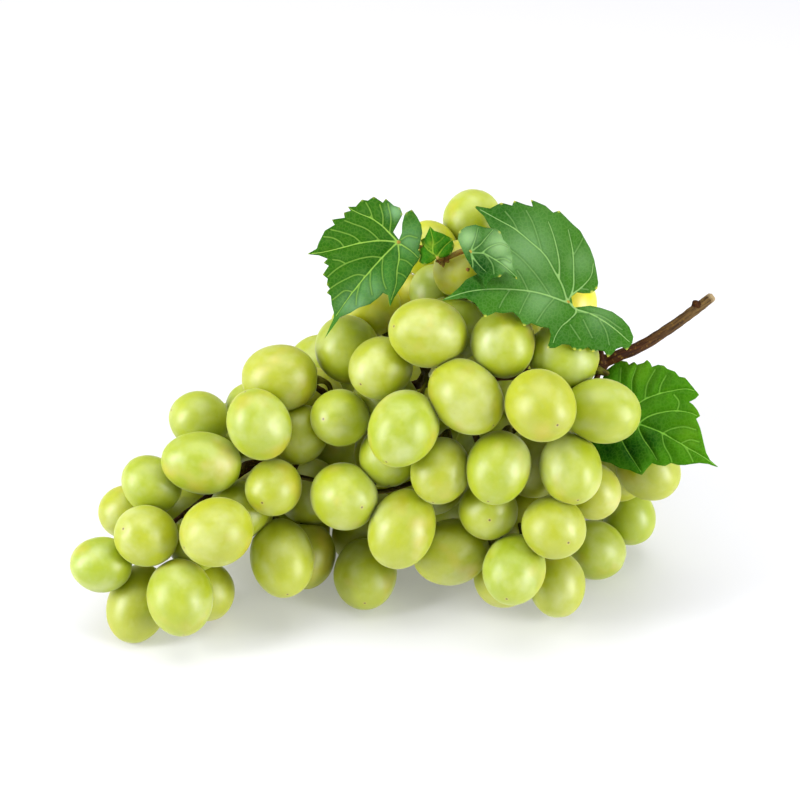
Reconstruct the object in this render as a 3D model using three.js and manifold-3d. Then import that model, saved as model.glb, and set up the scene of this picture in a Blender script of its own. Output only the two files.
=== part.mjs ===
import * as THREE from "three";
import { mergeVertices } from "three/addons/utils/BufferGeometryUtils.js";
import Module from "manifold-3d";

// A bunch of large white table grapes, lying on its side: the tip points along -X and the cut stalk
// along +X. Lengths are in mm and +Z is up.
//
// The side of the bunch that shows is its face. It is laid out on a plane that leans back, and a
// place on the face has three numbers: across (to the right), up (along the plane) and out (away
// from the plane, toward the eye point). A piece keeps its place in the face however far out it is.
const FACE_LEAN = 34;
const FACE_MIDDLE = new THREE.Vector3(0, 0, 60);
const EYE_DISTANCE = 700;
const TABLE_POINT = new THREE.Vector3(-0.82, 1.77, 0);

const BERRY_SIDES_DETAIL = 1;
const BERRY_SWELL = 1.025;
const BERRY_TOUCH = 0.955;
const FLOOR_SINK = 1.0;
const STALK_ROOM = 1.1;
const PRESS_DEPTH = 0.12;
const DEEPEST_PRESS = 0.72;
const GROUP_REACH = 12;
const GROUP_STEP = 0.1;
const GROUP_SINK = 0.01;
const GROUP_GIVE = 0.3;

// across, up, length and width of each berry of the face, then the way its far end points:
// its turn in the face and how much it faces the eye, in degrees
const FACE_BERRIES = [
  [9.1, 21.6, 27.5, 22.4, 170, 35],
  [21.1, 1.1, 27.5, 22.4, -47, 20],
  [1.0, -9.3, 26.5, 22.4, -117, 25],
  [45.0, -1.8, 26.2, 22.4, -53, 54],
  [-6.4, 10.2, 22.4, 20.2, 220, 42],
  [64.3, -3.5, 25.6, 20.8, -10, 10],
  [31.7, -21.8, 25.0, 20.8, -108, 25],
  [54.6, -21.8, 25.0, 20.2, -80, 35],
  [49.0, -40.6, 22.4, 20.0, -47, 57],
  [36.5, -54.1, 24.3, 20.0, -108, 41],
  [0.6, -41.1, 27.0, 21.4, -112, 10],
  [-18.4, -31.4, 25.0, 21.8, -27, 56],
  [-40.9, -28.4, 20.4, 18.5, -125, 57],
  [-38.1, -50.9, 27.0, 20.6, -79, 31],
  [-59.2, -42.6, 24.4, 22.2, 205, 25],
  [-64.1, -20.3, 26.0, 20.2, 172, 10],
  [-71.0, -63.7, 25.0, 21.4, -82, 20],
  [-81.9, -43.9, 22.2, 20.0, 156, 50],
  [-96.3, -53.1, 20.5, 18.0, 175, 15],
  [-45.5, -7.9, 22.5, 19.4, 112, 15],
  [-19.5, -5.8, 21.0, 18.9, 183, 61],
  [-38.7, 7.0, 24.0, 21.0, 178, 5],
  [-64.6, -6.4, 20.0, 18.6, 160, 20],
  [-80.3, -27.2, 20.5, 18.0, 140, 10],
  [-87.7, -36.2, 19.5, 18.0, 170, 0],
  [-84.6, -65.6, 26.6, 19.8, -104, 15],
  [-62.4, -61.4, 20.0, 18.6, -80, 0],
  [-11.2, -56.0, 24.3, 20.0, -90, 45],
  [13.1, -22.7, 22.5, 19.2, -104, 20],
  [28.5, -35.5, 21.5, 19.4, -90, 75],
  [16.3, -48.6, 25.5, 21.5, -165, 10],
  [33.0, 17.9, 22.6, 21.0, -80, 20],
  [-17.0, 16.3, 23.0, 21.2, 100, 20],
  [52.2, 13.8, 23.7, 21.2, 160, 0],
  [-3.5, -17.9, 21.0, 19.8, -90, 20],
  [-32.6, -10.9, 19.8, 19.0, -90, 0],
  [-31.0, -50.0, 20.5, 19.2, -90, 0],
  [33.0, -56.6, 19.8, 19.2, -90, 0],
  [50.2, -58.9, 21.0, 18.0, -85, 10],
  [62.7, -48.3, 21.2, 19.8, -20, 10],
  [73.9, -37.8, 19.0, 17.6, -70, 0],
  [80.0, -22.4, 21.8, 19.8, -40, 20],
  [61.6, -29.0, 19.4, 18.0, -60, 10],
  [69.0, -34.0, 19.0, 18.0, -60, 0],
  [42.6, -20.8, 22.0, 21.0, -90, 0],
  [16.6, 23.0, 20.5, 19.8, 60, 0],
  [35.8, 20.8, 20.0, 19.0, 60, 0],
  [-9.6, 30.4, 21.0, 19.8, 120, 10],
  [11.2, 34.9, 18.6, 16.8, 90, 10],
  [3.8, 32.0, 18.6, 17.0, 110, 0],
  [19.8, 42.2, 19.5, 18.6, 70, 0],
  [9.3, 48.6, 19.2, 18.6, 110, 0],
  [23.4, 57.9, 20.5, 19.2, 80, 10],
  [54.4, 31.0, 19.0, 18.0, 60, 0],
  [-47.0, -3.8, 20.0, 19.0, 120, 0],
  [37.0, 44.0, 20.0, 19.0, 60, 0],
  [41.0, 31.0, 20.0, 19.0, 60, 0],
  [-4.8, 40.0, 19.0, 18.0, 110, 0],
];
const FACE_ROUNDS = 400;
const FACE_PULL = 0.04;
const FRONT_SHARE = 0.12;
const SETTLE_REACH = 14;
const SETTLE_STEP = 2;
const NEAR_ENOUGH = 0.02;
const TOUCHING = 0.05;
const FAR = 32;
const FAR_REACH = 28;
const PUSH_BACK = 0.5;
const LAST_ROUNDS = 100;

// the bunch's form at some stations: across, then its middle and half height up the face, how far
// out its middle is, and how far berry centres stand in front of it and behind it
const FORM = [
  [-97, -53, 8, 14, 5, 6],
  [-84, -50, 15, 12, 14, 16],
  [-64, -34, 27, 6, 22, 30],
  [-38, -22, 30, -2, 30, 40],
  [-10, -9, 45, -6, 38, 52],
  [22, 1, 57, -10, 44, 58],
  [45, -6, 52, -12, 44, 56],
  [66, -17, 33, -14, 36, 44],
  [82, -26, 12, -18, 16, 20],
];
// the line round the centres of the outermost berries, across and up
const RIM = [
  [-94, -52], [-86, -38], [-79, -29], [-63, -9], [-46, -1], [-37, 5], [-17, 15], [-9, 30], [-4, 39],
  [10, 47], [23, 56], [37, 43], [55, 29], [54, 8], [60, -16], [76, -24], [72, -36], [62, -46],
  [50, -57], [34, -56], [16, -49], [-11, -55], [-31, -50], [-62, -60], [-83, -64],
];
// round berries between those of the face, and two on the table behind: across, up, out, diameter
const INNER_BERRIES = [
  [-65.7, -46.2, 10.5, 17.4],
  [-51.8, -35.8, 8.3, 19.1],
  [-4.8, -0.8, 9.0, 20.7],
  [70.2, -22.2, -16.8, 21.0],
  [-33.2, -41.2, -26.4, 21.5],
  [53.4, -26.1, -47.2, 23.0],
];
// places behind the gaps in the face, across and up, where a berry keeps one from seeing through
const GAPS = [[34, 4], [3.5, 8], [-28, 1]];
const GAP_SIZE = 0.88;
const FILL_SEED = 20261;
const RANDOM_FACTOR = 16807;
const RANDOM_RANGE = 2147483647;
const FILL_TRIES = 4000;
const FRONT_ROOM = 10;
const FILL_STEPS = 60;
const FILL_STEP = 4;
const FILL_ACROSS = [-92, 80];
const FILL_UP = [-62, 57];
const FILL_SIZE = [0.92, 1.06];
const FILL_FACING = [-75, 10];
const FILL_LENGTH = 25;
const FILL_WIDTH = 21.2;

// stalks: across, up and out of the points of each one, and its radius at both ends
const PEDUNCLE = [
  [100.6, 33.2, -4], [95, 29, 0], [86, 22.5, 7], [78, 17.5, 12], [71, 14.5, 16], [64.5, 12, 16],
];
const RACHIS = [
  [64.5, 12, 16], [58, 9, 6], [34, 8, -2], [6, 5, -5], [-25, -7, -4], [-52, -24, 0], [-76, -42, 6],
];
const BRANCHES = [
  [[6, 5, -5], [7, 7, 8], [8, 9, 14]],
  [[-18, -4, -4], [-24, 2, 2], [-30, 6, 4]],
  [[-45, -20, 0], [-50, -21, 5], [-51, -23, 9]],
  [[-22, -6, -4], [-32, -18, 2], [-36, -26, 8]],
  [[20, 7, -3], [24, -10, 2], [30, -26, 6]],
  [[48, 8, 2], [50, -8, -8], [52, -24, -14]],
  [[12, 6, -4], [10, -12, 0], [6, -26, 6]],
  [[28, 8, -2], [24, 20, -4], [20, 32, -4]],
  [[14, 6, -4], [12, 14, -20], [10, 22, -32]],
  [[-10, -1, -4], [-12, -4, -18], [-14, -4, -28]],
  [[38, 8, -1], [40, 10, -16], [42, 14, -28]],
];
const SHOOT = [
  [65.5, 17.5, 20], [64.6, 22, 20], [61.5, 26, 20], [56, 27.6, 20.5], [51.5, 29.6, 21], [47.5, 35, 21.5],
  [42, 40.5, 22], [33, 45, 23], [25, 49, 24.5], [13.5, 45.3, 25],
];
const SHOOT_LEAVES = [
  { leaf: "leaf_top", from: [53.5, 28.5, 20.8], by: [[53.4, 29.6, 25]] },
  { leaf: "leaf_small_right", from: [25, 49, 24], by: [[24, 48.6, 30]] },
  { leaf: "leaf_small_left", from: [14, 45.5, 24.6], by: [] },
  { leaf: "leaf_left", from: [17, 46.6, 24.8], by: [[8, 49, 22.5]] },
];
const BUD = [13, 44.2, 25.2];
const BUD_RADIUS = 1.5;
const SHOOT_RADIUS = [1.3, 0.9];
const SHOOT_LEAF_RADIUS = [0.8, 0.7];
const RIGHT_LEAF_STALK = [
  [64.5, 12, 16], [66.5, 8, 7], [71.5, -0.5, 5], [75.4, -6.6, 10.5],
];
const SPURS = [
  [[64.5, 12, 16], [59.8, 9.8, 18]],
  [[64.5, 12, 16], [64.8, 16.2, 18]],
  [[64.5, 12, 16], [63.6, 6.8, 17]],
  [[95.4, 29.4, -0.5], [95.2, 32.2, 0.5]],
];
const SPUR_RADIUS = [1.7, 0.9];
const LEAF_STALK_RADIUS = [1.1, 0.8];
const PEDUNCLE_RADIUS = [1.7, 2.0];
const RACHIS_RADIUS = [2.1, 1.1];
const KNOT_RADIUS = 2.9;
const BRANCH_RADIUS = [1.3, 1.0];
const PEDICEL_RADIUS = 0.85;
const PEDICEL_REACH = 27;
const PEDICEL_ROOM = 0.6;
const PEDICEL_GAP = 0.65;
const PEDICEL_NECK = 6;
const PEDICEL_CHECKS = 14;
const PEDICEL_ENTRY = 10;
const ENTRY_ROOM = -0.8;

// ---------------------------------------------------------------------------------------- the face
const lean = THREE.MathUtils.degToRad(FACE_LEAN);
const upward = new THREE.Vector3(0, Math.sin(lean), Math.cos(lean));
const outward = new THREE.Vector3(0, -Math.cos(lean), Math.sin(lean));

function facePoint(across, up, out) {
  const nearness = (EYE_DISTANCE - out) / EYE_DISTANCE;
  return FACE_MIDDLE.clone()
    .add(new THREE.Vector3(across * nearness, 0, 0))
    .addScaledVector(upward, up * nearness)
    .addScaledVector(outward, out);
}

function faceDirection(turn, facing) {
  const t = THREE.MathUtils.degToRad(turn);
  const f = THREE.MathUtils.degToRad(facing);
  return new THREE.Vector3(Math.cos(t) * Math.cos(f), 0, 0)
    .addScaledVector(upward, Math.sin(t) * Math.cos(f))
    .addScaledVector(outward, Math.sin(f));
}

function toFace(point) {
  const offset = point.clone().sub(FACE_MIDDLE);
  const out = offset.dot(outward);
  const nearness = (EYE_DISTANCE - out) / EYE_DISTANCE;
  return [offset.x / nearness, offset.dot(upward) / nearness, out];
}

// ------------------------------------------------------------------------------------- the berries
function formAt(across) {
  const last = FORM.length - 1;
  if (across <= FORM[0][0]) {
    return FORM[0].slice(1);
  }
  if (across >= FORM[last][0]) {
    return FORM[last].slice(1);
  }
  const next = FORM.findIndex((station) => station[0] >= across);
  const [from, to] = [FORM[next - 1], FORM[next]];
  const share = (across - from[0]) / (to[0] - from[0]);
  return from.slice(1).map((value, i) => value + (to[i + 1] - value) * share);
}

// how far out the bunch's front and back are at a place on the face
function frontAndBack(across, up) {
  const [middle, half, out, front, back] = formAt(across);
  const bulge = Math.sqrt(Math.max(0, 1 - ((up - middle) / half) ** 2));
  return [out + front * bulge, out - back * bulge];
}

// from a berry's centre to its skin along a unit direction: the mean of the distance straight to
// the skin and the distance to the plane that touches it
function reach(berry, direction) {
  const along = berry.axis.dot(direction) ** 2;
  const aside = Math.max(0, 1 - along);
  const [h, w] = [berry.length / 2, berry.width / 2];
  const skin = 1 / Math.sqrt(along / (h * h) + aside / (w * w));
  const plane = Math.sqrt(along * h * h + aside * w * w);
  return (skin + plane) / 2;
}

function halfHeight(berry) {
  const along = berry.axis.z * berry.axis.z;
  const [length, width] = [berry.length / 2, berry.width / 2];
  return Math.sqrt(along * length * length + (1 - along) * width * width);
}

// how far apart two berries are, less the distance at which they press together
function gapBetween(a, b) {
  const between = b.centre.clone().sub(a.centre);
  const distance = between.length();
  if (distance > FAR) {
    return distance - FAR_REACH;
  }
  between.normalize();
  return distance - BERRY_TOUCH * (reach(a, between) + reach(b, between));
}

function gapToStalk(berry, stalk) {
  const nearest = stalk.line.closestPointToPoint(berry.centre, true, new THREE.Vector3());
  const between = nearest.sub(berry.centre);
  const distance = between.length();
  return distance - reach(berry, between.normalize()) - stalk.radius - STALK_ROOM;
}

function setOut(berry, out) {
  berry.out = out;
  berry.centre = facePoint(berry.across, berry.up, out);
}

// The berries of the face start on the front of the form. Where two of them meet, the one in front
// moves a little toward the eye and the one behind moves back, until they only press together.
function placeFaceBerries(stalks) {
  const berries = FACE_BERRIES.map(([across, up, length, width, turn, facing]) => {
    const [front] = frontAndBack(across, up);
    const nearness = (EYE_DISTANCE - front) / EYE_DISTANCE;
    const size = { length: length * nearness, width: width * nearness };
    const berry = { across, up, front, ...size, axis: faceDirection(turn, facing) };
    setOut(berry, front);
    return berry;
  });
  for (let round = 0; round < FACE_ROUNDS; round++) {
    const pull = round < FACE_ROUNDS - LAST_ROUNDS ? FACE_PULL : 0;
    berries.forEach((front, i) => {
      berries.slice(i + 1).forEach((behind) => pressApart(front, behind));
    });
    for (const berry of berries) {
      setOut(berry, berry.out + pull * (berry.front - berry.out));
      const stalkGap = Math.min(...stalks.map((stalk) => gapToStalk(berry, stalk)));
      if (stalkGap < 0) {
        setOut(berry, berry.out - stalkGap * PUSH_BACK);
      }
      const low = berry.centre.z - halfHeight(berry) + FLOOR_SINK;
      if (low < 0) {
        setOut(berry, berry.out - low / outward.z);
      }
    }
  }
  return berries;
}

// From the back to the front, each berry of the face drops back until it presses on another.
function settleFace(berries, stalks) {
  const ordered = [...berries].sort((a, b) => a.out - b.out);
  for (const berry of ordered) {
    const others = berries.filter((other) => other !== berry);
    const [start, low] = [berry.out, berry.out - SETTLE_REACH];
    let room = freeRoom(berry, others, stalks);
    while (room > NEAR_ENOUGH && berry.out > low) {
      setOut(berry, berry.out - Math.min(room, SETTLE_STEP));
      room = freeRoom(berry, others, stalks);
      if (berry.centre.z - halfHeight(berry) < -FLOOR_SINK) {
        break;
      }
    }
    if (room > NEAR_ENOUGH) {
      setOut(berry, start);
    }
  }
}

function pressApart(front, behind) {
  const between = front.centre.clone().sub(behind.centre);
  const distance = between.length();
  if (distance > FAR) {
    return;
  }
  between.normalize();
  const wanted = BERRY_TOUCH * (reach(front, between) + reach(behind, between));
  if (distance < wanted) {
    const step = front.out - behind.out;
    const aside = Math.max(0, distance * distance - step * step);
    const move = Math.sqrt(Math.max(0, wanted * wanted - aside)) - step;
    if (move > 0) {
      setOut(front, front.out + move * FRONT_SHARE);
      setOut(behind, behind.out - move * (1 - FRONT_SHARE));
    }
  }
}

function insideRim(across, up) {
  let inside = false;
  RIM.forEach(([x, y], i) => {
    const [x2, y2] = RIM[(i + 1) % RIM.length];
    if (y > up !== y2 > up && across < x + ((x2 - x) * (up - y)) / (y2 - y)) {
      inside = !inside;
    }
  });
  return inside;
}

function makeRandom(seed) {
  let state = seed;
  return (low, high) => {
    state = (state * RANDOM_FACTOR) % RANDOM_RANGE;
    return low + ((high - low) * state) / RANDOM_RANGE;
  };
}

function freeRoom(berry, berries, stalks) {
  const toBerries = berries.map((other) => gapBetween(berry, other));
  const toStalks = stalks.map((stalk) => gapToStalk(berry, stalk));
  return Math.min(...toBerries, ...toStalks);
}

// The inner berries are there first, and next a berry comes in behind each gap in the face. Then the
// others come in, one by one, and each stays where it presses on one that is there already, if that
// is inside the bunch.
function fillBehind(berries, stalks) {
  for (const [across, up, out, size] of INNER_BERRIES) {
    const centre = facePoint(across, up, out);
    addBerry({ length: size, width: size, axis: faceDirection(0, 0), centre }, berries);
  }
  for (const [across, up] of GAPS) {
    const [length, width] = [FILL_LENGTH * GAP_SIZE, FILL_WIDTH * GAP_SIZE];
    const berry = { length, width, axis: faceDirection(0, 0) };
    if (comeIn(berry, across, up, 0, berries, stalks)) {
      addBerry(berry, berries);
    }
  }
  const random = makeRandom(FILL_SEED);
  for (let n = 0; n < FILL_TRIES; n++) {
    const across = random(...FILL_ACROSS);
    const up = random(...FILL_UP);
    const size = random(...FILL_SIZE);
    const axis = faceDirection(random(0, 360), random(...FILL_FACING));
    const depth = random(0, 1) * random(0, 1);
    const berry = { length: FILL_LENGTH * size, width: FILL_WIDTH * size, axis };
    if (insideRim(across, up) && comeIn(berry, across, up, depth, berries, stalks)) {
      if (hasPlace(berry, berries)) {
        addBerry(berry, berries);
      }
    }
  }
}

// A berry comes in from the back, from the depth given, until it presses on another or on a stalk.
// One that is too low to come straight in rolls along the table instead.
function comeIn(berry, across, up, depth, berries, stalks) {
  const [limit, back] = frontAndBack(across, up);
  berry.centre = facePoint(across, up, back + (limit - FRONT_ROOM - back) * depth);
  const floor = halfHeight(berry) - FLOOR_SINK;
  const rolls = berry.centre.z < floor;
  if (rolls) {
    berry.centre.addScaledVector(outward, (floor - berry.centre.z) / outward.z);
  }
  const heading = rolls ? new THREE.Vector3(0, -1, 0) : outward;
  let room = freeRoom(berry, berries, stalks);
  if (room < 0) {
    return false;
  }
  for (let step = 0; step < FILL_STEPS && room > NEAR_ENOUGH; step++) {
    berry.centre.addScaledVector(heading, Math.min(room, FILL_STEP));
    room = freeRoom(berry, berries, stalks);
  }
  return true;
}

function hasPlace(berry, berries) {
  const touches = berries.some((other) => gapBetween(berry, other) < TOUCHING);
  const [across, up, out] = toFace(berry.centre);
  const [front] = frontAndBack(across, up);
  return touches && insideRim(across, up) && out < front - FRONT_ROOM;
}

function addBerry(berry, berries) {
  berry.centre.set(...berry.centre.toArray().map((value) => Math.round(value * 100) / 100));
  berries.push(berry);
}

// the twig and the leaves are drawn on one sheet on the face plane, in steps of DRAWING_STEP from
// its upper left corner: x to the right and y down
const DRAWING_STEP = 1 / 3.1;
const DRAWING_MIDDLE = 400;
const BLADE_HALF = 0.45;
const BLADE_EDGE = 9;
const JOINT_GAP = 1.1;
const FOLD_ROUND = 3;

function fromDrawing([x, y]) {
  return [(x - DRAWING_MIDDLE) * DRAWING_STEP, (DRAWING_MIDDLE - y) * DRAWING_STEP];
}

// ----------------------------------------------------------------------------- solids and joining
const wasm = await Module();
wasm.setup();

function toSolid(geometry) {
  const bare = geometry.clone();
  bare.deleteAttribute("normal");
  bare.deleteAttribute("uv");
  const merged = mergeVertices(bare, 1e-5);
  return new wasm.Manifold(
    new wasm.Mesh({
      numProp: 3,
      vertProperties: new Float32Array(merged.attributes.position.array),
      triVerts: new Uint32Array(merged.index.array),
    })
  );
}

function toGeometry(solid) {
  const mesh = solid.getMesh();
  const geometry = new THREE.BufferGeometry();
  geometry.setAttribute("position", new THREE.BufferAttribute(new Float32Array(mesh.vertProperties), 3));
  geometry.setIndex(new THREE.BufferAttribute(new Uint32Array(mesh.triVerts), 1));
  return geometry;
}

function largest(solid) {
  return solid.decompose().reduce((best, body) => (body.volume() > best.volume() ? body : best));
}

function join(solids) {
  return solids.reduce((whole, next) => whole.add(next));
}

function berrySolid(berry) {
  const geometry = new THREE.IcosahedronGeometry(1, BERRY_SIDES_DETAIL);
  const half = new THREE.Vector3(berry.width / 2, berry.length / 2, berry.width / 2);
  geometry.scale(half.x * BERRY_SWELL, half.y * BERRY_SWELL, half.z * BERRY_SWELL);
  const turn = new THREE.Quaternion().setFromUnitVectors(new THREE.Vector3(0, 1, 0), berry.axis);
  geometry.applyQuaternion(turn);
  geometry.translate(...berry.centre.toArray());
  return toSolid(geometry);
}

// a closed round rod along a curve, with a radius at each end
function rod(curve, radii, pieces, sides) {
  const frames = curve.computeFrenetFrames(pieces, false);
  const positions = [];
  for (let ring = 0; ring <= pieces; ring++) {
    const share = ring / pieces;
    const middle = curve.getPointAt(share);
    const radius = radii[0] + (radii[1] - radii[0]) * share;
    for (let side = 0; side < sides; side++) {
      const angle = (side / sides) * 2 * Math.PI;
      const point = middle
        .clone()
        .addScaledVector(frames.normals[ring], Math.cos(angle) * radius)
        .addScaledVector(frames.binormals[ring], Math.sin(angle) * radius);
      positions.push(point);
    }
  }
  const index = [];
  for (let ring = 0; ring < pieces; ring++) {
    for (let side = 0; side < sides; side++) {
      const next = (side + 1) % sides;
      const [a, b] = [ring * sides + side, ring * sides + next];
      index.push(a, b, b + sides, a, b + sides, a + sides);
    }
  }
  for (let side = 1; side < sides - 1; side++) {
    const end = pieces * sides;
    index.push(0, side + 1, side, end, end + side, end + side + 1);
  }
  const geometry = new THREE.BufferGeometry().setFromPoints(positions);
  geometry.setIndex(index);
  return geometry;
}

function curveThrough(points) {
  return new THREE.CatmullRomCurve3(points.map((point) => facePoint(...point)), false, "centripetal");
}

function stalkPieces(points, radii) {
  const places = curveThrough(points).getPoints(points.length * 2);
  return places.slice(1).map((place, i) => {
    const share = (i + 0.5) / (places.length - 1);
    return { line: new THREE.Line3(places[i], place), radius: radii[0] + (radii[1] - radii[0]) * share };
  });
}

// A group of berries that presses on no other group moves out or back until it does. Where no move
// of up to GROUP_REACH does it, the two closest berries swell a little instead.
function pressTogether(berries, stalks) {
  for (let n = 0; n < berries.length; n++) {
    const groups = groupsOf(berries);
    if (groups.length === 1) {
      return;
    }
    const loose = groups[groups.length - 1];
    const rest = berries.filter((berry) => !loose.includes(berry));
    if (!moveToTouch(loose, rest, stalks)) {
      swellToTouch(loose, rest);
    }
  }
}

// the groups of berries that press on each other, the largest first
function groupsOf(berries) {
  const left = new Set(berries);
  const groups = [];
  for (const first of berries) {
    if (left.delete(first)) {
      const group = [first];
      for (const member of group) {
        for (const other of left) {
          if (gapBetween(member, other) < -PRESS_DEPTH) {
            left.delete(other);
            group.push(other);
          }
        }
      }
      groups.push(group);
    }
  }
  return groups.sort((a, b) => b.length - a.length);
}

function moveToTouch(loose, rest, stalks) {
  for (let step = 1; step <= GROUP_REACH / GROUP_STEP; step++) {
    for (const move of [-step * GROUP_STEP, step * GROUP_STEP]) {
      const moved = loose.map((berry) => {
        return { ...berry, centre: berry.centre.clone().addScaledVector(outward, move) };
      });
      const gap = Math.min(...moved.flatMap((berry) => rest.map((other) => gapBetween(berry, other))));
      const isFree = moved.every((berry) => {
        const isUp = berry.centre.z - halfHeight(berry) > -FLOOR_SINK - GROUP_SINK;
        return isUp && stalks.every((stalk) => gapToStalk(berry, stalk) > -GROUP_GIVE);
      });
      if (gap < -PRESS_DEPTH && gap > -DEEPEST_PRESS && isFree) {
        loose.forEach((berry, i) => berry.centre.copy(moved[i].centre));
        return true;
      }
    }
  }
  return false;
}

function swellToTouch(loose, rest) {
  const pairs = loose.flatMap((a) => rest.map((b) => ({ a, b, gap: gapBetween(a, b) })));
  const closest = pairs.reduce((best, pair) => (pair.gap < best.gap ? pair : best));
  for (const berry of [closest.a, closest.b]) {
    berry.length += closest.gap + 2 * PRESS_DEPTH;
    berry.width += closest.gap + 2 * PRESS_DEPTH;
  }
}

// ---------------------------------------------------------------------------------------- pedicels
function pedicelCurve(berry, foot) {
  const start = berry.centre.clone().addScaledVector(berry.axis, -berry.length / 2 - PEDICEL_GAP);
  const neck = start.clone().addScaledVector(berry.axis, -PEDICEL_NECK);
  return new THREE.CubicBezierCurve3(foot, foot.clone().lerp(neck, 0.5), neck, start);
}

function isClear(curve, own, berries) {
  return curve.getPoints(PEDICEL_CHECKS).every((point, i) => {
    return berries.every((berry) => {
      const between = point.clone().sub(berry.centre);
      const distance = between.length();
      const room = distance - reach(berry, between.normalize()) * BERRY_SWELL - PEDICEL_RADIUS;
      return room > (berry === own && i > PEDICEL_ENTRY ? ENTRY_ROOM : PEDICEL_ROOM);
    });
  });
}

// each berry hangs on the nearest stalk that a free way leads to
function growPedicels(berries, stalks) {
  const curves = [];
  for (const berry of berries) {
    const stemEnd = berry.centre.clone().addScaledVector(berry.axis, -berry.length / 2);
    const feet = stalks
      .map((stalk) => stalk.line.closestPointToPoint(stemEnd, true, new THREE.Vector3()))
      .filter((foot) => foot.distanceTo(stemEnd) < PEDICEL_REACH)
      .sort((a, b) => a.distanceTo(stemEnd) - b.distanceTo(stemEnd));
    const ways = feet.map((foot) => pedicelCurve(berry, foot));
    const way = ways.find((curve) => isClear(curve, berry, berries));
    if (way) {
      curves.push(way);
    }
  }
  return curves;
}

// ------------------------------------------------------------------------------------------ leaves
const LEAVES = {
  leaf_left: {
    color: 0x4f8a2a,
    joint: [397, 242],
    out: 28,
    slope: [0.1, -0.35],
    fold: { to: [335, 315], rise: 0.35 },
    outline: [
      [392, 232], [396, 224], [401, 215], [399, 208], [394, 206], [386, 199], [383, 203], [374, 197],
      [368, 201], [362, 200], [356, 207], [348, 207], [351, 211], [344, 213], [345, 218], [332, 220],
      [335, 225], [325, 231], [322, 237], [319, 243], [317, 249], [308, 254], [318, 255], [328, 259],
      [324, 263], [329, 266], [323, 275], [328, 279], [327, 285], [330, 289], [327, 293], [331, 296],
      [332, 305], [334, 312], [334, 318], [325, 338], [340, 317], [350, 313], [358, 308], [370, 304],
      [378, 298], [383, 293], [388, 295], [390, 307], [394, 298], [399, 290], [404, 283], [409, 275],
      [413, 267], [417, 262], [421, 256], [418, 250], [420, 243], [422, 233], [421, 225], [417, 217],
      [412, 210], [406, 213], [402, 217], [401, 225], [402, 233], [399, 240],
    ],
  },
  leaf_top: {
    color: 0x4d8a46,
    joint: [568, 302],
    out: 32,
    slope: [-0.45, -0.7],
    fold: { to: [443, 300], rise: 0.2 },
    outline: [
      [474, 206], [490, 209], [501, 203], [512, 206], [514, 201], [525, 205], [533, 207], [531, 200],
      [545, 206], [553, 213], [559, 211], [567, 219], [573, 225], [580, 231], [585, 240], [590, 249],
      [594, 260], [596, 270], [598, 283], [597, 289], [592, 293], [583, 293], [577, 292], [571, 297],
      [573, 308], [590, 306], [600, 308], [612, 312], [622, 319], [629, 327], [633, 337], [632, 343],
      [627, 350], [622, 347], [616, 349], [612, 354], [608, 357], [604, 351], [598, 350], [593, 352],
      [588, 347], [580, 351], [574, 350], [570, 345], [562, 344], [555, 348], [547, 348], [549, 343],
      [551, 335], [549, 328], [541, 327], [531, 323], [524, 326], [519, 317], [513, 312], [503, 313],
      [497, 309], [483, 307], [475, 301], [466, 298], [455, 299], [443, 300], [452, 294], [460, 287],
      [466, 280], [478, 274], [492, 262], [499, 246], [498, 233], [490, 227], [484, 216],
    ],
  },
  leaf_right: {
    color: 0x4c961f,
    joint: [636, 424],
    out: 21,
    slope: [0.15, -0.3],
    fold: { to: [715, 466], rise: 0.1 },
    outline: [
      [603, 378], [607, 370], [615, 364], [622, 361], [627, 362], [629, 365], [634, 362], [637, 365],
      [644, 363], [647, 360], [650, 363], [652, 367], [658, 365], [664, 366], [667, 369], [675, 372],
      [679, 377], [685, 378], [690, 384], [695, 390], [699, 395], [695, 399], [689, 402], [693, 405],
      [697, 410], [700, 416], [696, 419], [700, 428], [702, 436], [704, 445], [706, 453], [710, 460],
      [718, 467], [708, 464], [700, 463], [692, 464], [685, 465], [678, 465], [671, 463], [665, 466],
      [658, 465], [652, 463], [647, 468], [642, 475], [636, 473], [630, 470], [622, 466], [618, 452],
      [614, 436], [606, 412],
    ],
  },
  leaf_small_right: {
    color: 0x6f9a5c,
    joint: [470, 252],
    out: 38.5,
    slope: [-0.1, -0.5],
    fold: { to: [517, 279], rise: 0.3 },
    outline: [
      [458, 240], [459, 232], [466, 227], [475, 225], [485, 228], [495, 229], [500, 232], [503, 240],
      [509, 246], [512, 255], [512, 265], [517, 279], [505, 272], [500, 277], [492, 278], [487, 283],
      [486, 290], [482, 280], [478, 275], [472, 268], [466, 258],
    ],
  },
  leaf_small_left: {
    color: 0x7f9a3f,
    joint: [437, 258],
    out: 29,
    slope: [0.1, -0.3],
    fold: { to: [430, 226], rise: 0.3 },
    outline: [
      [430, 226], [434, 231], [443, 234], [452, 239], [454, 246], [451, 254], [445, 257], [437, 258],
      [432, 262], [425, 265], [419, 262], [421, 257], [419, 251], [423, 247], [421, 240], [425, 238],
      [428, 232],
    ],
  },
};

// how far out a leaf's middle surface is: a sloping plane that falls away on both sides of the fold
function leafOut(leaf, across, up) {
  const [x, y] = fromDrawing(leaf.joint);
  const [tipX, tipY] = fromDrawing(leaf.fold.to);
  const length = Math.hypot(tipX - x, tipY - y);
  const [dx, dy] = [(tipX - x) / length, (tipY - y) / length];
  const aside = Math.abs((across - x) * dy - (up - y) * dx);
  const fall = leaf.fold.rise * (Math.hypot(aside, FOLD_ROUND) - FOLD_ROUND);
  return leaf.out + leaf.slope[0] * (across - x) + leaf.slope[1] * (up - y) - fall;
}

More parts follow.
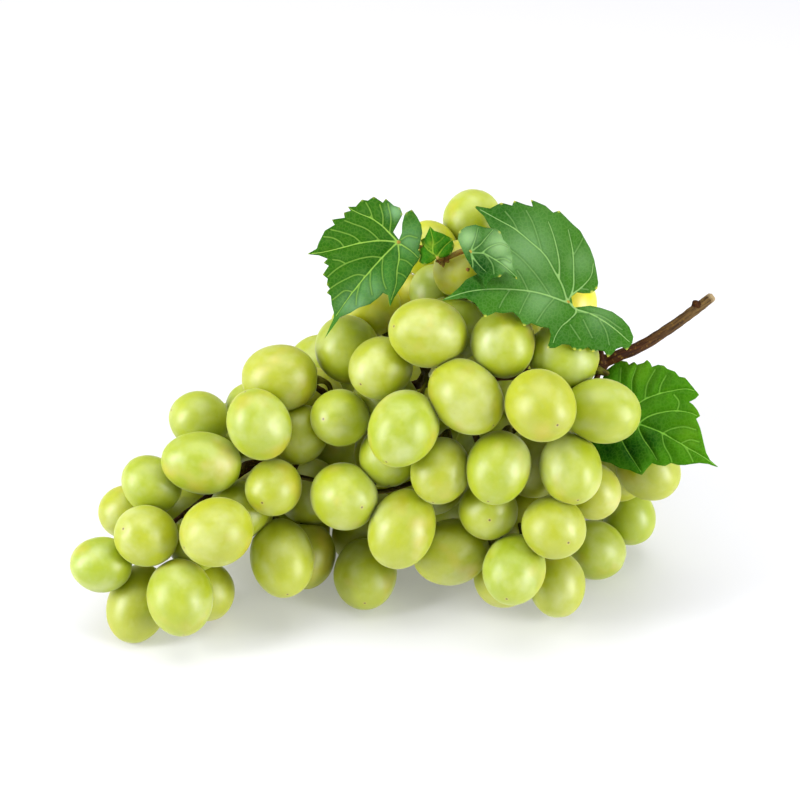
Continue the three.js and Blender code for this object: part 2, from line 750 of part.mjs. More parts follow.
// splits every edge longer than the limit in the middle, alike on both of its triangles
function splitLongEdges(points, faces, limit) {
  const middles = new Map();
  const middleOf = (a, b) => {
    if (points[a].distanceTo(points[b]) <= limit) {
      return -1;
    }
    const key = `${Math.min(a, b)}_${Math.max(a, b)}`;
    if (!middles.has(key)) {
      points.push(points[a].clone().lerp(points[b], 0.5));
      middles.set(key, points.length - 1);
    }
    return middles.get(key);
  };
  const pieces = faces.flatMap((face) => splitFace(face, middleOf));
  return middles.size > 0 ? splitLongEdges(points, pieces, limit) : pieces;
}

function splitFace([a, b, c], middleOf) {
  const [ab, bc, ca] = [middleOf(a, b), middleOf(b, c), middleOf(c, a)];
  const count = [ab, bc, ca].filter((middle) => middle >= 0).length;
  if (count === 0) {
    return [[a, b, c]];
  }
  if (count === 3) {
    return [[a, ab, ca], [ab, b, bc], [ca, bc, c], [ab, bc, ca]];
  }
  const startsHere = ab >= 0 && (count === 1 || bc >= 0);
  if (!startsHere) {
    return splitFace([b, c, a], middleOf);
  }
  return count === 1 ? [[a, ab, c], [ab, b, c]] : [[ab, b, bc], [a, ab, bc], [a, bc, c]];
}

// a thin closed sheet: the same triangles on both faces, and a wall along the outline
function blade(leaf) {
  const points = leaf.outline.map((place) => new THREE.Vector2(...fromDrawing(place)));
  if (THREE.ShapeUtils.isClockWise(points)) {
    points.reverse();
  }
  const faces = splitLongEdges(points, THREE.ShapeUtils.triangulateShape(points, []), BLADE_EDGE);
  const [front, back] = [BLADE_HALF, -BLADE_HALF].map((side) => {
    return points.map(({ x, y }) => facePoint(x, y, leafOut(leaf, x, y) + side));
  });
  const count = points.length;
  const index = faces.flatMap(([a, b, c]) => [a, b, c, a + count, c + count, b + count]);
  const edges = new Set(faces.flatMap(([a, b, c]) => [`${a}_${b}`, `${b}_${c}`, `${c}_${a}`]));
  for (const edge of edges) {
    const [a, b] = edge.split("_").map(Number);
    if (!edges.has(`${b}_${a}`)) {
      index.push(a, a + count, b + count, a, b + count, b);
    }
  }
  const geometry = new THREE.BufferGeometry().setFromPoints([...front, ...back]);
  geometry.setIndex(index);
  return geometry;
}

// ------------------------------------------------------------------------------------- the stalks
const STALKS = [
  { points: PEDUNCLE, radii: PEDUNCLE_RADIUS, pieces: 8, sides: 8 },
  { points: RACHIS, radii: RACHIS_RADIUS, pieces: 12, sides: 7 },
  { points: RIGHT_LEAF_STALK, radii: LEAF_STALK_RADIUS, pieces: 6, sides: 6 },
  ...BRANCHES.map((points) => ({ points, radii: BRANCH_RADIUS, pieces: 4, sides: 6 })),
  ...SPURS.map((points) => ({ points, radii: SPUR_RADIUS, pieces: 1, sides: 6 })),
];

function stalkSolid({ points, radii, pieces, sides }) {
  return toSolid(rod(curveThrough(points), radii, pieces, sides));
}

function ball(place, radius) {
  return toSolid(new THREE.IcosahedronGeometry(radius, 1).translate(...facePoint(...place).toArray()));
}

function stemSolid(pedicels) {
  const whole = join([
    ...STALKS.map(stalkSolid),
    ball(RACHIS[0], KNOT_RADIUS),
    ...pedicels.map((curve) => toSolid(rod(curve, [PEDICEL_RADIUS, PEDICEL_RADIUS], 3, 4))),
  ]);
  return largest(whole);
}

// the side shoot with a short stalk to each leaf, ending just behind its blade, and the bud
function shootSolid() {
  const leafStalks = SHOOT_LEAVES.map(({ leaf, from, by }) => {
    const [across, up] = fromDrawing(LEAVES[leaf].joint);
    const end = leafOut(LEAVES[leaf], across, up) - BLADE_HALF - JOINT_GAP;
    const points = [from, ...by, [across, up, end]];
    return stalkSolid({ points, radii: SHOOT_LEAF_RADIUS, pieces: 4, sides: 6 });
  });
  const twig = stalkSolid({ points: SHOOT, radii: SHOOT_RADIUS, pieces: 10, sides: 7 });
  return largest(join([twig, ball(BUD, BUD_RADIUS), ...leafStalks]));
}

// ------------------------------------------------------------------------------------ the assembly
const stalkPiecesOfStem = STALKS.flatMap(({ points, radii }) => stalkPieces(points, radii));
const berries = placeFaceBerries(stalkPiecesOfStem);
settleFace(berries, stalkPiecesOfStem);
fillBehind(berries, stalkPiecesOfStem);
pressTogether(berries, stalkPiecesOfStem);
const pedicels = growPedicels(berries, stalkPiecesOfStem);

const belowTable = toSolid(new THREE.BoxGeometry(400, 400, 40).translate(0, 0, -20));
const berrySolids = join(berries.map(berrySolid)).subtract(belowTable);
const group = new THREE.Group();

function addPiece(name, geometry, color, roughness) {
  const material = new THREE.MeshStandardMaterial({ color, roughness, metalness: 0 });
  const mesh = new THREE.Mesh(geometry, material);
  mesh.name = name;
  mesh.position.copy(TABLE_POINT).negate();
  group.add(mesh);
}

addPiece("berries", toGeometry(largest(berrySolids)), 0xbcc63a, 0.4);
addPiece("stem", toGeometry(stemSolid(pedicels)), 0x5a3d1c, 0.8);
addPiece("shoot", toGeometry(shootSolid()), 0x6b5a24, 0.7);
for (const [name, leaf] of Object.entries(LEAVES)) {
  addPiece(name, blade(leaf), leaf.color, 0.65);
}

export default group;
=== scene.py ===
import math
import random

import bmesh
import bpy
import numpy as np
from mathutils import Matrix, Vector, geometry, kdtree, noise


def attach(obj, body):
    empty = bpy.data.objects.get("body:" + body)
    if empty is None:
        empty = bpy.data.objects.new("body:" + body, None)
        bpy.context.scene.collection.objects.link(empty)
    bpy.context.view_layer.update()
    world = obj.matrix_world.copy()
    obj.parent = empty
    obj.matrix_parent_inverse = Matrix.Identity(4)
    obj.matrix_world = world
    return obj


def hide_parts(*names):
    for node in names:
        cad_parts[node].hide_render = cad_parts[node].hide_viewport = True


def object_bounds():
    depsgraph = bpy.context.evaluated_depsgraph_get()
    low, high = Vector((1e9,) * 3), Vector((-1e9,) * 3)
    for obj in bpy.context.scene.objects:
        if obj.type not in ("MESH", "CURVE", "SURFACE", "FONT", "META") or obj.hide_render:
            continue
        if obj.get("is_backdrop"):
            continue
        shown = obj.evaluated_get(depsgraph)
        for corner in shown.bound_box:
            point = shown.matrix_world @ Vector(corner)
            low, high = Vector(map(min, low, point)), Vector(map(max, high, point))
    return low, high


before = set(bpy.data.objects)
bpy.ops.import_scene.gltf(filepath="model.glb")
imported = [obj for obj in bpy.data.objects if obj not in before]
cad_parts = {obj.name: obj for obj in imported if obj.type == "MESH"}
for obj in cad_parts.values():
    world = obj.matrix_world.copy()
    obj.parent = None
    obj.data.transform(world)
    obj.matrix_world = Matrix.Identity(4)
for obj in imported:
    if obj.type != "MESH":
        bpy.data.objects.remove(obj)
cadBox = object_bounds()

# The bunch lies with its tip toward -X. The side that shows is laid out on a plane that leans back,
# and a place there has three numbers in mm: across (to the right), up (along the plane) and out
# (toward the eye point). The CAD source uses the same numbers.
mm = 0.001
faceMiddle = (0.0, 0.0, 60.0)
tablePoint = np.array([-0.82, 1.77, 0.0])  # where the scene's own zero is
eyeDistance = 700.0
tiny = 1e-9  # the least that anything is divided by
lean = math.radians(34)
upward = (0.0, math.sin(lean), math.cos(lean))
outward = (0.0, -math.cos(lean), math.sin(lean))
drawingStep = 1 / 3.1  # mm for one step on the drawing sheet of the leaves
drawingMiddle = 400


# the place of across, up and out
def facePoint(across, up, out):
    nearness = (eyeDistance - out) / eyeDistance
    x = across * nearness
    y = upward[1] * (up * nearness) + outward[1] * out
    z = faceMiddle[2] + upward[2] * (up * nearness) + outward[2] * out
    return x, y, z


# turn goes round the face from the right, and facing rises from it toward the eye, in degrees
def faceDirection(turn, facing):
    t, f = math.radians(turn), math.radians(facing)
    x = math.cos(t) * math.cos(f)
    y = upward[1] * (math.sin(t) * math.cos(f)) + outward[1] * math.sin(f)
    z = upward[2] * (math.sin(t) * math.cos(f)) + outward[2] * math.sin(f)
    return x, y, z


def toFace(point):
    y, z = point[1], point[2] - faceMiddle[2]
    out = y * outward[1] + z * outward[2]
    nearness = (eyeDistance - out) / eyeDistance
    return point[0] / nearness, (y * upward[1] + z * upward[2]) / nearness, out


def fromDrawing(x, y):
    return (x - drawingMiddle) * drawingStep, (drawingMiddle - y) * drawingStep


def toScene(points):
    return (np.asarray(points) - tablePoint) * mm


# where the berries are, in mm
bunch = {
    "touch": 0.955,  # share of the two radii at which berries press together
    "touchRoom": 0.02,  # room at which a berry that moves counts as touching
    "placeRoom": 0.05,  # room at which a berry that comes in counts as held
    "pressDepth": 0.12,  # how deep berries press, at least, to hold together
    "deepest": 6,  # how many times deeper they may press
    "pressReach": 30,  # no two berries this far apart press on each other
    "farApart": (32, 28),  # past the first distance, the second is the most that two berries reach
    "floorSink": 1.0,  # how far a low berry is pressed flat by the table
    "floorSlack": 0.01,  # what a berry that moves may miss of that
    "stalkRoom": 1.1,  # between a berry and a stalk
    "stalkSlack": 0.3,  # what a berry that moves may miss of that
    "groupReach": 12,  # how far a loose group of berries may move
    "groupStep": 0.1,
    # across, up, length, width, then the turn of the far end in the face and how much it faces the eye
    "face": [
        (9.1, 21.6, 27.5, 22.4, 170, 35), (21.1, 1.1, 27.5, 22.4, -47, 20),
        (1.0, -9.3, 26.5, 22.4, -117, 25), (45.0, -1.8, 26.2, 22.4, -53, 54),
        (-6.4, 10.2, 22.4, 20.2, 220, 42), (64.3, -3.5, 25.6, 20.8, -10, 10),
        (31.7, -21.8, 25.0, 20.8, -108, 25), (54.6, -21.8, 25.0, 20.2, -80, 35),
        (49.0, -40.6, 22.4, 20.0, -47, 57), (36.5, -54.1, 24.3, 20.0, -108, 41),
        (0.6, -41.1, 27.0, 21.4, -112, 10), (-18.4, -31.4, 25.0, 21.8, -27, 56),
        (-40.9, -28.4, 20.4, 18.5, -125, 57), (-38.1, -50.9, 27.0, 20.6, -79, 31),
        (-59.2, -42.6, 24.4, 22.2, 205, 25), (-64.1, -20.3, 26.0, 20.2, 172, 10),
        (-71.0, -63.7, 25.0, 21.4, -82, 20), (-81.9, -43.9, 22.2, 20.0, 156, 50),
        (-96.3, -53.1, 20.5, 18.0, 175, 15), (-45.5, -7.9, 22.5, 19.4, 112, 15),
        (-19.5, -5.8, 21.0, 18.9, 183, 61), (-38.7, 7.0, 24.0, 21.0, 178, 5),
        (-64.6, -6.4, 20.0, 18.6, 160, 20), (-80.3, -27.2, 20.5, 18.0, 140, 10),
        (-87.7, -36.2, 19.5, 18.0, 170, 0), (-84.6, -65.6, 26.6, 19.8, -104, 15),
        (-62.4, -61.4, 20.0, 18.6, -80, 0), (-11.2, -56.0, 24.3, 20.0, -90, 45),
        (13.1, -22.7, 22.5, 19.2, -104, 20), (28.5, -35.5, 21.5, 19.4, -90, 75),
        (16.3, -48.6, 25.5, 21.5, -165, 10), (33.0, 17.9, 22.6, 21.0, -80, 20),
        (-17.0, 16.3, 23.0, 21.2, 100, 20), (52.2, 13.8, 23.7, 21.2, 160, 0),
        (-3.5, -17.9, 21.0, 19.8, -90, 20), (-32.6, -10.9, 19.8, 19.0, -90, 0),
        (-31.0, -50.0, 20.5, 19.2, -90, 0), (33.0, -56.6, 19.8, 19.2, -90, 0),
        (50.2, -58.9, 21.0, 18.0, -85, 10), (62.7, -48.3, 21.2, 19.8, -20, 10),
        (73.9, -37.8, 19.0, 17.6, -70, 0), (80.0, -22.4, 21.8, 19.8, -40, 20),
        (61.6, -29.0, 19.4, 18.0, -60, 10), (69.0, -34.0, 19.0, 18.0, -60, 0),
        (42.6, -20.8, 22.0, 21.0, -90, 0), (16.6, 23.0, 20.5, 19.8, 60, 0),
        (35.8, 20.8, 20.0, 19.0, 60, 0), (-9.6, 30.4, 21.0, 19.8, 120, 10),
        (11.2, 34.9, 18.6, 16.8, 90, 10), (3.8, 32.0, 18.6, 17.0, 110, 0),
        (19.8, 42.2, 19.5, 18.6, 70, 0), (9.3, 48.6, 19.2, 18.6, 110, 0),
        (23.4, 57.9, 20.5, 19.2, 80, 10), (54.4, 31.0, 19.0, 18.0, 60, 0),
        (-47.0, -3.8, 20.0, 19.0, 120, 0), (37.0, 44.0, 20.0, 19.0, 60, 0),
        (41.0, 31.0, 20.0, 19.0, 60, 0), (-4.8, 40.0, 19.0, 18.0, 110, 0),
    ],
    "faceRounds": 400,
    "facePull": 0.04,  # how strongly a berry is drawn back to the form's front
    "pullUntil": 0.75,  # share of the rounds with a pull
    "frontShare": 0.12,  # share of a push that the berry in front takes
    "stalkPush": 0.5,  # share of the missing room to a stalk that a berry moves by in one round
    "settleReach": 14,  # how far a berry of the face may drop back, and its longest step
    "settleStep": 2,
    # across, the middle and half height up the face, how far out the middle is, the reach forward and back
    "form": [
        (-97, -53, 8, 14, 5, 6), (-84, -50, 15, 12, 14, 16), (-64, -34, 27, 6, 22, 30),
        (-38, -22, 30, -2, 30, 40), (-10, -9, 45, -6, 38, 52), (22, 1, 57, -10, 44, 58),
        (45, -6, 52, -12, 44, 56), (66, -17, 33, -14, 36, 44), (82, -26, 12, -18, 16, 20),
    ],
    # the edge of the bunch in the face, which the middles of the berries behind stay within
    "rim": [
        (-94, -52), (-86, -38), (-79, -29), (-63, -9), (-46, -1), (-37, 5), (-17, 15), (-9, 30),
        (-4, 39), (10, 47), (23, 56), (37, 43), (55, 29), (54, 8), (60, -16), (76, -24), (72, -36),
        (62, -46), (50, -57), (34, -56), (16, -49), (-11, -55), (-31, -50), (-62, -60), (-83, -64),
    ],
    # places behind the gaps in the face, across and up, that get a berry first
    "gaps": [(34, 4), (3.5, 8), (-28, 1)],
    "gapSize": 0.88,  # of a full berry
    # round berries between those of the face: across, up, out, diameter
    "inner": [
        (-65.7, -46.2, 10.5, 17.4), (-51.8, -35.8, 8.3, 19.1), (-4.8, -0.8, 9.0, 20.7),
        (70.2, -22.2, -16.8, 21.0), (-33.2, -41.2, -26.4, 21.5), (53.4, -26.1, -47.2, 23.0),
    ],
    # the berries behind the face: their tries, sizes and the range of each draw
    "fillSeed": 20261,
    "fillTries": 4000,
    "fillLength": 25,
    "fillWidth": 21.2,
    "fillAcross": (-92, 80),
    "fillUp": (-62, 57),
    "fillSizes": (0.92, 1.06),
    "fillFacing": (-75, 10),  # degrees toward the eye
    "frontRoom": 10,  # how far behind the form's front a berry stays that comes in
    "comeInSteps": 60,  # the most steps of a berry that comes in, and its longest
    "comeInStep": 4,
}
# the short stalks that the berries hang on, in mm
pedicel = {
    "radius": 0.85,
    "reach": 27,
    "room": 0.6,  # to the berries that it passes
    "sink": 0.8,  # into its own berry
    "gap": 0.65,  # from the berry's end to the point where the stalk starts
    "neck": 6,  # its straight end
    "swell": 1.025,  # how plump the berries count as where it passes them
    "dimpleShare": 0.8,  # how far its end reaches into the dimple of the berry
    "checkSteps": 14,
    "endStep": 10,  # past this step it may be in its own berry
    "steps": 22,
}
# The stem in mm: the points of each stalk are across, up and out, and its radius is given at both ends.
stem = {
    "peduncle": [
        (100.6, 33.2, -4), (95, 29, 0), (86, 22.5, 7), (78, 17.5, 12), (71, 14.5, 16), (64.5, 12, 16),
    ],
    "rachis": [
        (64.5, 12, 16), (58, 9, 6), (34, 8, -2), (6, 5, -5), (-25, -7, -4), (-52, -24, 0),
        (-76, -42, 6),
    ],
    "rightLeafStalk": [(64.5, 12, 16), (66.5, 8, 7), (71.5, -0.5, 5), (75.4, -6.6, 10.5)],
    "branches": [
        [(6, 5, -5), (7, 7, 8), (8, 9, 14)],
        [(-18, -4, -4), (-24, 2, 2), (-30, 6, 4)],
        [(-45, -20, 0), (-50, -21, 5), (-51, -23, 9)],
        [(-22, -6, -4), (-32, -18, 2), (-36, -26, 8)],
        [(20, 7, -3), (24, -10, 2), (30, -26, 6)],
        [(48, 8, 2), (50, -8, -8), (52, -24, -14)],
        [(12, 6, -4), (10, -12, 0), (6, -26, 6)],
        [(28, 8, -2), (24, 20, -4), (20, 32, -4)],
        [(14, 6, -4), (12, 14, -20), (10, 22, -32)],
        [(-10, -1, -4), (-12, -4, -18), (-14, -4, -28)],
        [(38, 8, -1), (40, 10, -16), (42, 14, -28)],
    ],
    "spurs": [
        [(64.5, 12, 16), (59.8, 9.8, 18)],
        [(64.5, 12, 16), (64.8, 16.2, 18)],
        [(64.5, 12, 16), (63.6, 6.8, 17)],
        [(95.4, 29.4, -0.5), (95.2, 32.2, 0.5)],
    ],
    "radii": {
        "peduncle": (1.7, 2.0), "rachis": (2.1, 1.1), "rightLeafStalk": (1.1, 0.8),
        "branches": (1.3, 1.0), "spurs": (1.7, 0.9),
    },
    # green share of the bark at both ends of a stalk, and below 0 how dry it is
    "tones": {
        "peduncle": (-1.0, 0.0), "rachis": (0.0, 0.15), "rightLeafStalk": (0.0, 0.4),
        "branches": (0.2, 0.5), "spurs": (0.0, 0.15), "pedicels": (0.35, 1.0),
    },
    "step": 1.0,  # between two rings of a stalk
    "sides": 12,
    "voxel": 0.38,  # the size at which the stalks grow together
    "knot": (2.9, 0.6, 0.5),  # its radius, how uneven it is and how fine its lumps are
    "collar": (1.55, 1.8),  # radius and length of the swelling where a berry hangs
    "foot": (0.35, 1.5),  # height and length of the swelling where a short stalk starts
    "bark": 0.16,  # height of the bark's ridges
}
stalks = [(name, stem[name]) for name in ("peduncle", "rachis", "rightLeafStalk")]
stalks += [(name, points) for name in ("branches", "spurs") for points in stem[name]]


def dot(a, b):
    return a[..., 0] * b[..., 0] + a[..., 1] * b[..., 1] + a[..., 2] * b[..., 2]


# a place on the smooth curve through the points, with share 0 at its start and 1 at its end
def curvePoint(points, share):
    last = len(points) - 1
    piece = min(math.floor(last * share), last - 1)
    weight = last * share - piece
    p1, p2 = points[piece], points[piece + 1]
    p0 = points[piece - 1] if piece > 0 else p1 - p2 + p1
    p3 = points[piece + 2] if piece + 2 <= last else p2 - p1 + p2
    d0, d1, d2 = (dot(b - a, b - a) ** 0.25 for a, b in ((p0, p1), (p1, p2), (p2, p3)))
    start = ((p1 - p0) / d0 - (p2 - p0) / (d0 + d1) + (p2 - p1) / d1) * d1
    end = ((p2 - p1) / d1 - (p3 - p1) / (d1 + d2) + (p3 - p2) / d2) * d1
    square = -3 * p1 + 3 * p2 - 2 * start - end
    cube = 2 * p1 - 2 * p2 + start + end
    return p1 + start * weight + square * (weight * weight) + cube * (weight * weight * weight)


def curvePoints(points, count):
    spots = [np.array(facePoint(*point)) for point in points]
    return np.array([curvePoint(spots, i / count) for i in range(count + 1)])


# every stalk as short straight lines, each with its radius
def stalkLines():
    starts, ends, radii = [], [], []
    for name, points in stalks:
        first, last = stem["radii"][name]
        places = curvePoints(points, len(points) * 2)
        for i in range(len(places) - 1):
            starts.append(places[i])
            ends.append(places[i + 1])
            radii.append(first + (last - first) * (i + 0.5) / (len(places) - 1))
    return np.array(starts), np.array(ends), np.array(radii)


# the form's numbers at a place across, between the two nearest of the list
def formAt(across):
    form = bunch["form"]
    if across <= form[0][0]:
        return form[0][1:]
    if across >= form[-1][0]:
        return form[-1][1:]
    following = next(i for i, station in enumerate(form) if station[0] >= across)
    a, b = form[following - 1], form[following]
    share = (across - a[0]) / (b[0] - a[0])
    return tuple(a[i] + (b[i] - a[i]) * share for i in range(1, 6))


# how far out the form's front and back are at a place of the face
def frontAndBack(across, up):
    middle, half, out, front, back = formAt(across)
    offset = (up - middle) / half
    bulge = math.sqrt(max(0.0, 1 - offset * offset))
    return out + front * bulge, out - back * bulge


def isInside(outline, x, y):
    inside = False
    for (x1, y1), (x2, y2) in zip(outline, outline[1:] + outline[:1]):
        if (y1 > y) != (y2 > y) and x < x1 + (x2 - x1) * (y - y1) / (y2 - y1):
            inside = not inside
    return inside


def insideRim(across, up):
    return isInside(bunch["rim"], across, up)


# How far a berry reaches in a direction, halfway between its skin and the plane that touches it there:
# one way for a single berry, and one for many.
def reachOne(axis, length, width, x, y, z):
    along = axis[0] * x + axis[1] * y + axis[2] * z
    along = along * along
    aside = max(0.0, 1 - along)
    h, w = length / 2, width / 2
    skin = 1 / math.sqrt(along / (h * h) + aside / (w * w))
    return (skin + math.sqrt(along * h * h + aside * w * w)) / 2


def reachMany(axis, length, width, direction):
    along = dot(axis, direction)
    along = along * along
    aside = np.maximum(0.0, 1 - along)
    h, w = length / 2, width / 2
    skin = 1 / np.sqrt(along / (h * h) + aside / (w * w))
    return (skin + np.sqrt(along * h * h + aside * w * w)) / 2


def halfHeight(berry):
    along = berry["axis"][2] * berry["axis"][2]
    h, w = berry["length"] / 2, berry["width"] / 2
    return math.sqrt(along * (h * h) + (1 - along) * (w * w))


def bottom(berry):
    return berry["centre"][2] - halfHeight(berry)


def arrays(berries):
    keys = ("centre", "axis", "length", "width")
    return {key: np.array([berry[key] for berry in berries]) for key in keys}


# how far a berry is from each of the others, less the distance at which they press together
def gapsBetween(berry, others):
    between = others["centre"] - np.array(berry["centre"])
    distance = np.maximum(np.sqrt(dot(between, between)), tiny)
    unit = between * (1 / distance)[:, None]
    own = reachMany(np.array(berry["axis"]), berry["length"], berry["width"], unit)
    theirs = reachMany(others["axis"], others["length"], others["width"], unit)
    far, mostReach = bunch["farApart"]
    return np.where(distance > far, distance - mostReach, distance - bunch["touch"] * (own + theirs))


def gapsToStalks(berry, lines):
    starts, ends, radii = lines
    centre = np.array(berry["centre"])
    run = ends - starts
    share = np.clip(dot(run, centre - starts) / dot(run, run), 0, 1)
    between = run * share[:, None] + starts - centre
    distance = np.sqrt(dot(between, between))
    unit = between * (1 / distance)[:, None]
    own = reachMany(np.array(berry["axis"]), berry["length"], berry["width"], unit)
    return distance - own - radii - bunch["stalkRoom"]


def freeRoom(berry, others, lines):
    return min(gapsBetween(berry, others).min(), gapsToStalks(berry, lines).min())


def fillBerry(size, axis):
    return {"length": bunch["fillLength"] * size, "width": bunch["fillWidth"] * size, "axis": axis}


def roundBerry(across, up, out, size):
    centre = facePoint(across, up, out)
    return {"length": size, "width": size, "axis": faceDirection(0, 0), "centre": centre}


def setOut(berry, out):
    berry["out"] = out
    berry["centre"] = facePoint(berry["across"], berry["up"], out)


# moves two berries apart, each only toward or away from the eye
def pressApart(front, behind):
    (x1, y1, z1), (x2, y2, z2) = front["centre"], behind["centre"]
    x, y, z = x1 - x2, y1 - y2, z1 - z2
    squared = x * x + y * y + z * z
    if squared > bunch["pressReach"] ** 2:
        return
    distance = math.sqrt(squared)
    unit = 1 / distance
    x, y, z = x * unit, y * unit, z * unit
    reaches = [reachOne(b["axis"], b["length"], b["width"], x, y, z) for b in (front, behind)]
    wanted = bunch["touch"] * (reaches[0] + reaches[1])
    if distance < wanted:
        step = front["out"] - behind["out"]
        aside = max(0.0, distance * distance - step * step)
        move = math.sqrt(max(0.0, wanted * wanted - aside)) - step
        if move > 0:
            setOut(front, front["out"] + move * bunch["frontShare"])
            setOut(behind, behind["out"] - move * (1 - bunch["frontShare"]))


# The berries of the face start on the front of the form. Where two meet, the one in front moves a
# little toward the eye and the one behind moves back, until they only press together.
def placeFaceBerries(lines):
    berries = []
    for across, up, length, width, turn, facing in bunch["face"]:
        front, _ = frontAndBack(across, up)
        nearness = (eyeDistance - front) / eyeDistance
        berry = {"across": across, "up": up, "front": front, "axis": faceDirection(turn, facing)}
        berry.update(length=length * nearness, width=width * nearness)
        setOut(berry, front)
        berries.append(berry)
    for turn in range(bunch["faceRounds"]):
        pull = bunch["facePull"] if turn < bunch["faceRounds"] * bunch["pullUntil"] else 0
        for i, front in enumerate(berries):
            for behind in berries[i + 1:]:
                pressApart(front, behind)
        for berry in berries:
            setOut(berry, berry["out"] + pull * (berry["front"] - berry["out"]))
            stalkGap = gapsToStalks(berry, lines).min()
            if stalkGap < 0:
                setOut(berry, berry["out"] - stalkGap * bunch["stalkPush"])
            low = bottom(berry) + bunch["floorSink"]
            if low < 0:
                setOut(berry, berry["out"] - low / outward[2])
    return berries


# From the back to the front, each berry of the face drops back until it presses on another.
def settleFace(berries, lines):
    for berry in sorted(berries, key=lambda berry: berry["out"]):
        others = arrays([other for other in berries if other is not berry])
        start = berry["out"]
        room = freeRoom(berry, others, lines)
        while room > bunch["touchRoom"] and berry["out"] > start - bunch["settleReach"]:
            setOut(berry, berry["out"] - min(room, bunch["settleStep"]))
            room = freeRoom(berry, others, lines)
            if bottom(berry) < -bunch["floorSink"]:
                break
        if room > bunch["touchRoom"]:
            setOut(berry, start)


# the same draw of numbers as the solids are made with
def makeRandom(seed):
    state, factor, limit = seed, 16807, 2147483647

    def pick(low, high):
        nonlocal state
        state = state * factor % limit
        return low + ((high - low) * state) / limit

    return pick


def movedBy(point, direction, distance):
    return tuple(point[i] + direction[i] * distance for i in range(3))


# The inner berries are there first, and behind each gap in the face a berry comes in next. Then the
# others come in, one by one, and each stays where it presses on one that is there already, if that is
# inside the bunch.
def fillBehind(berries, lines):
    for across, up, out, size in bunch["inner"]:
        keepBerry(roundBerry(across, up, out, size), berries)
    for across, up in bunch["gaps"]:
        berry = fillBerry(bunch["gapSize"], faceDirection(0, 0))
        if comeIn(berry, across, up, 0, berries, lines):
            keepBerry(berry, berries)
    pick = makeRandom(bunch["fillSeed"])
    for _ in range(bunch["fillTries"]):
        across, up, size = (pick(*bunch[key]) for key in ("fillAcross", "fillUp", "fillSizes"))
        axis = faceDirection(pick(0, 360), pick(*bunch["fillFacing"]))
        depth = pick(0, 1) * pick(0, 1)
        berry = fillBerry(size, axis)
        if insideRim(across, up) and comeIn(berry, across, up, depth, berries, lines):
            if hasPlace(berry, berries):
                keepBerry(berry, berries)


# A berry comes in from the back, from the depth given, until it presses on another or on a stalk.
# One that is too low to come straight in rolls along the table instead.
def comeIn(berry, across, up, depth, berries, lines):
    others = arrays(berries)
    limit, back = frontAndBack(across, up)
    berry["centre"] = facePoint(across, up, back + (limit - bunch["frontRoom"] - back) * depth)
    floor = halfHeight(berry) - bunch["floorSink"]
    rolls = berry["centre"][2] < floor
    if rolls:
        rise = (floor - berry["centre"][2]) / outward[2]
        berry["centre"] = movedBy(berry["centre"], outward, rise)
    heading = (0, -1, 0) if rolls else outward
    room = freeRoom(berry, others, lines)
    if room < 0:
        return False
    for _ in range(bunch["comeInSteps"]):
        if room <= bunch["touchRoom"]:
            break
        berry["centre"] = movedBy(berry["centre"], heading, min(room, bunch["comeInStep"]))
        room = freeRoom(berry, others, lines)
    return True


# a berry stays where it touches another, inside the bunch and well behind its front
def hasPlace(berry, berries):
    touches = gapsBetween(berry, arrays(berries)).min() < bunch["placeRoom"]
    across, up, out = toFace(berry["centre"])
    front, _ = frontAndBack(across, up)
    return touches and insideRim(across, up) and out < front - bunch["frontRoom"]


# the solids round these places to a hundredth of a mm, too
def keepBerry(berry, berries):
    berry["centre"] = tuple(math.floor(value * 100 + 0.5) / 100 for value in berry["centre"])
    berries.append(berry)


def pressed(berries):
    others = arrays(berries)
    return [gapsBetween(berry, others) < -bunch["pressDepth"] for berry in berries]


# the groups of berries that press on each other, the largest first
def groupsOf(berries):
    touching = pressed(berries)
    left = list(range(len(berries)))
    groups = []
    while left:
        group = [left.pop(0)]
        for member in group:
            found = [other for other in left if touching[member][other]]
            left = [other for other in left if other not in found]
            group += found
        groups.append([berries[i] for i in group])
    return sorted(groups, key=lambda group: -len(group))


def moveToTouch(loose, rest, lines):
    others = arrays(rest)
    depth, lowest = bunch["pressDepth"], -bunch["floorSink"] - bunch["floorSlack"]
    for step in range(1, round(bunch["groupReach"] / bunch["groupStep"]) + 1):
        for move in (-step * bunch["groupStep"], step * bunch["groupStep"]):
            moved = [dict(berry, centre=movedBy(berry["centre"], outward, move)) for berry in loose]
            gap = min(gapsBetween(berry, others).min() for berry in moved)
            isFree = all(
                bottom(berry) > lowest and gapsToStalks(berry, lines).min() > -bunch["stalkSlack"]
                for berry in moved
            )
            if -bunch["deepest"] * depth < gap < -depth and isFree:
                for berry, new in zip(loose, moved):
                    berry["centre"] = new["centre"]
                return True
    return False


def swellToTouch(loose, rest):
    others = arrays(rest)
    gaps = np.array([gapsBetween(berry, others) for berry in loose])
    closest = np.unravel_index(np.argmin(gaps), gaps.shape)
    for berry in (loose[closest[0]], rest[closest[1]]):
        for key in ("length", "width"):
            berry[key] += gaps[closest] + 2 * bunch["pressDepth"]


# A group of berries that presses on no other group moves out or back until it does. Where no move
# of up to groupReach does it, the two closest berries swell a little instead.
def pressTogether(berries, lines):
    for _ in berries:
        groups = groupsOf(berries)
        if len(groups) == 1:
            return
        loose = groups[-1]
        rest = [berry for berry in berries if not any(berry is other for other in loose)]
        if not moveToTouch(loose, rest, lines):
            swellToTouch(loose, rest)


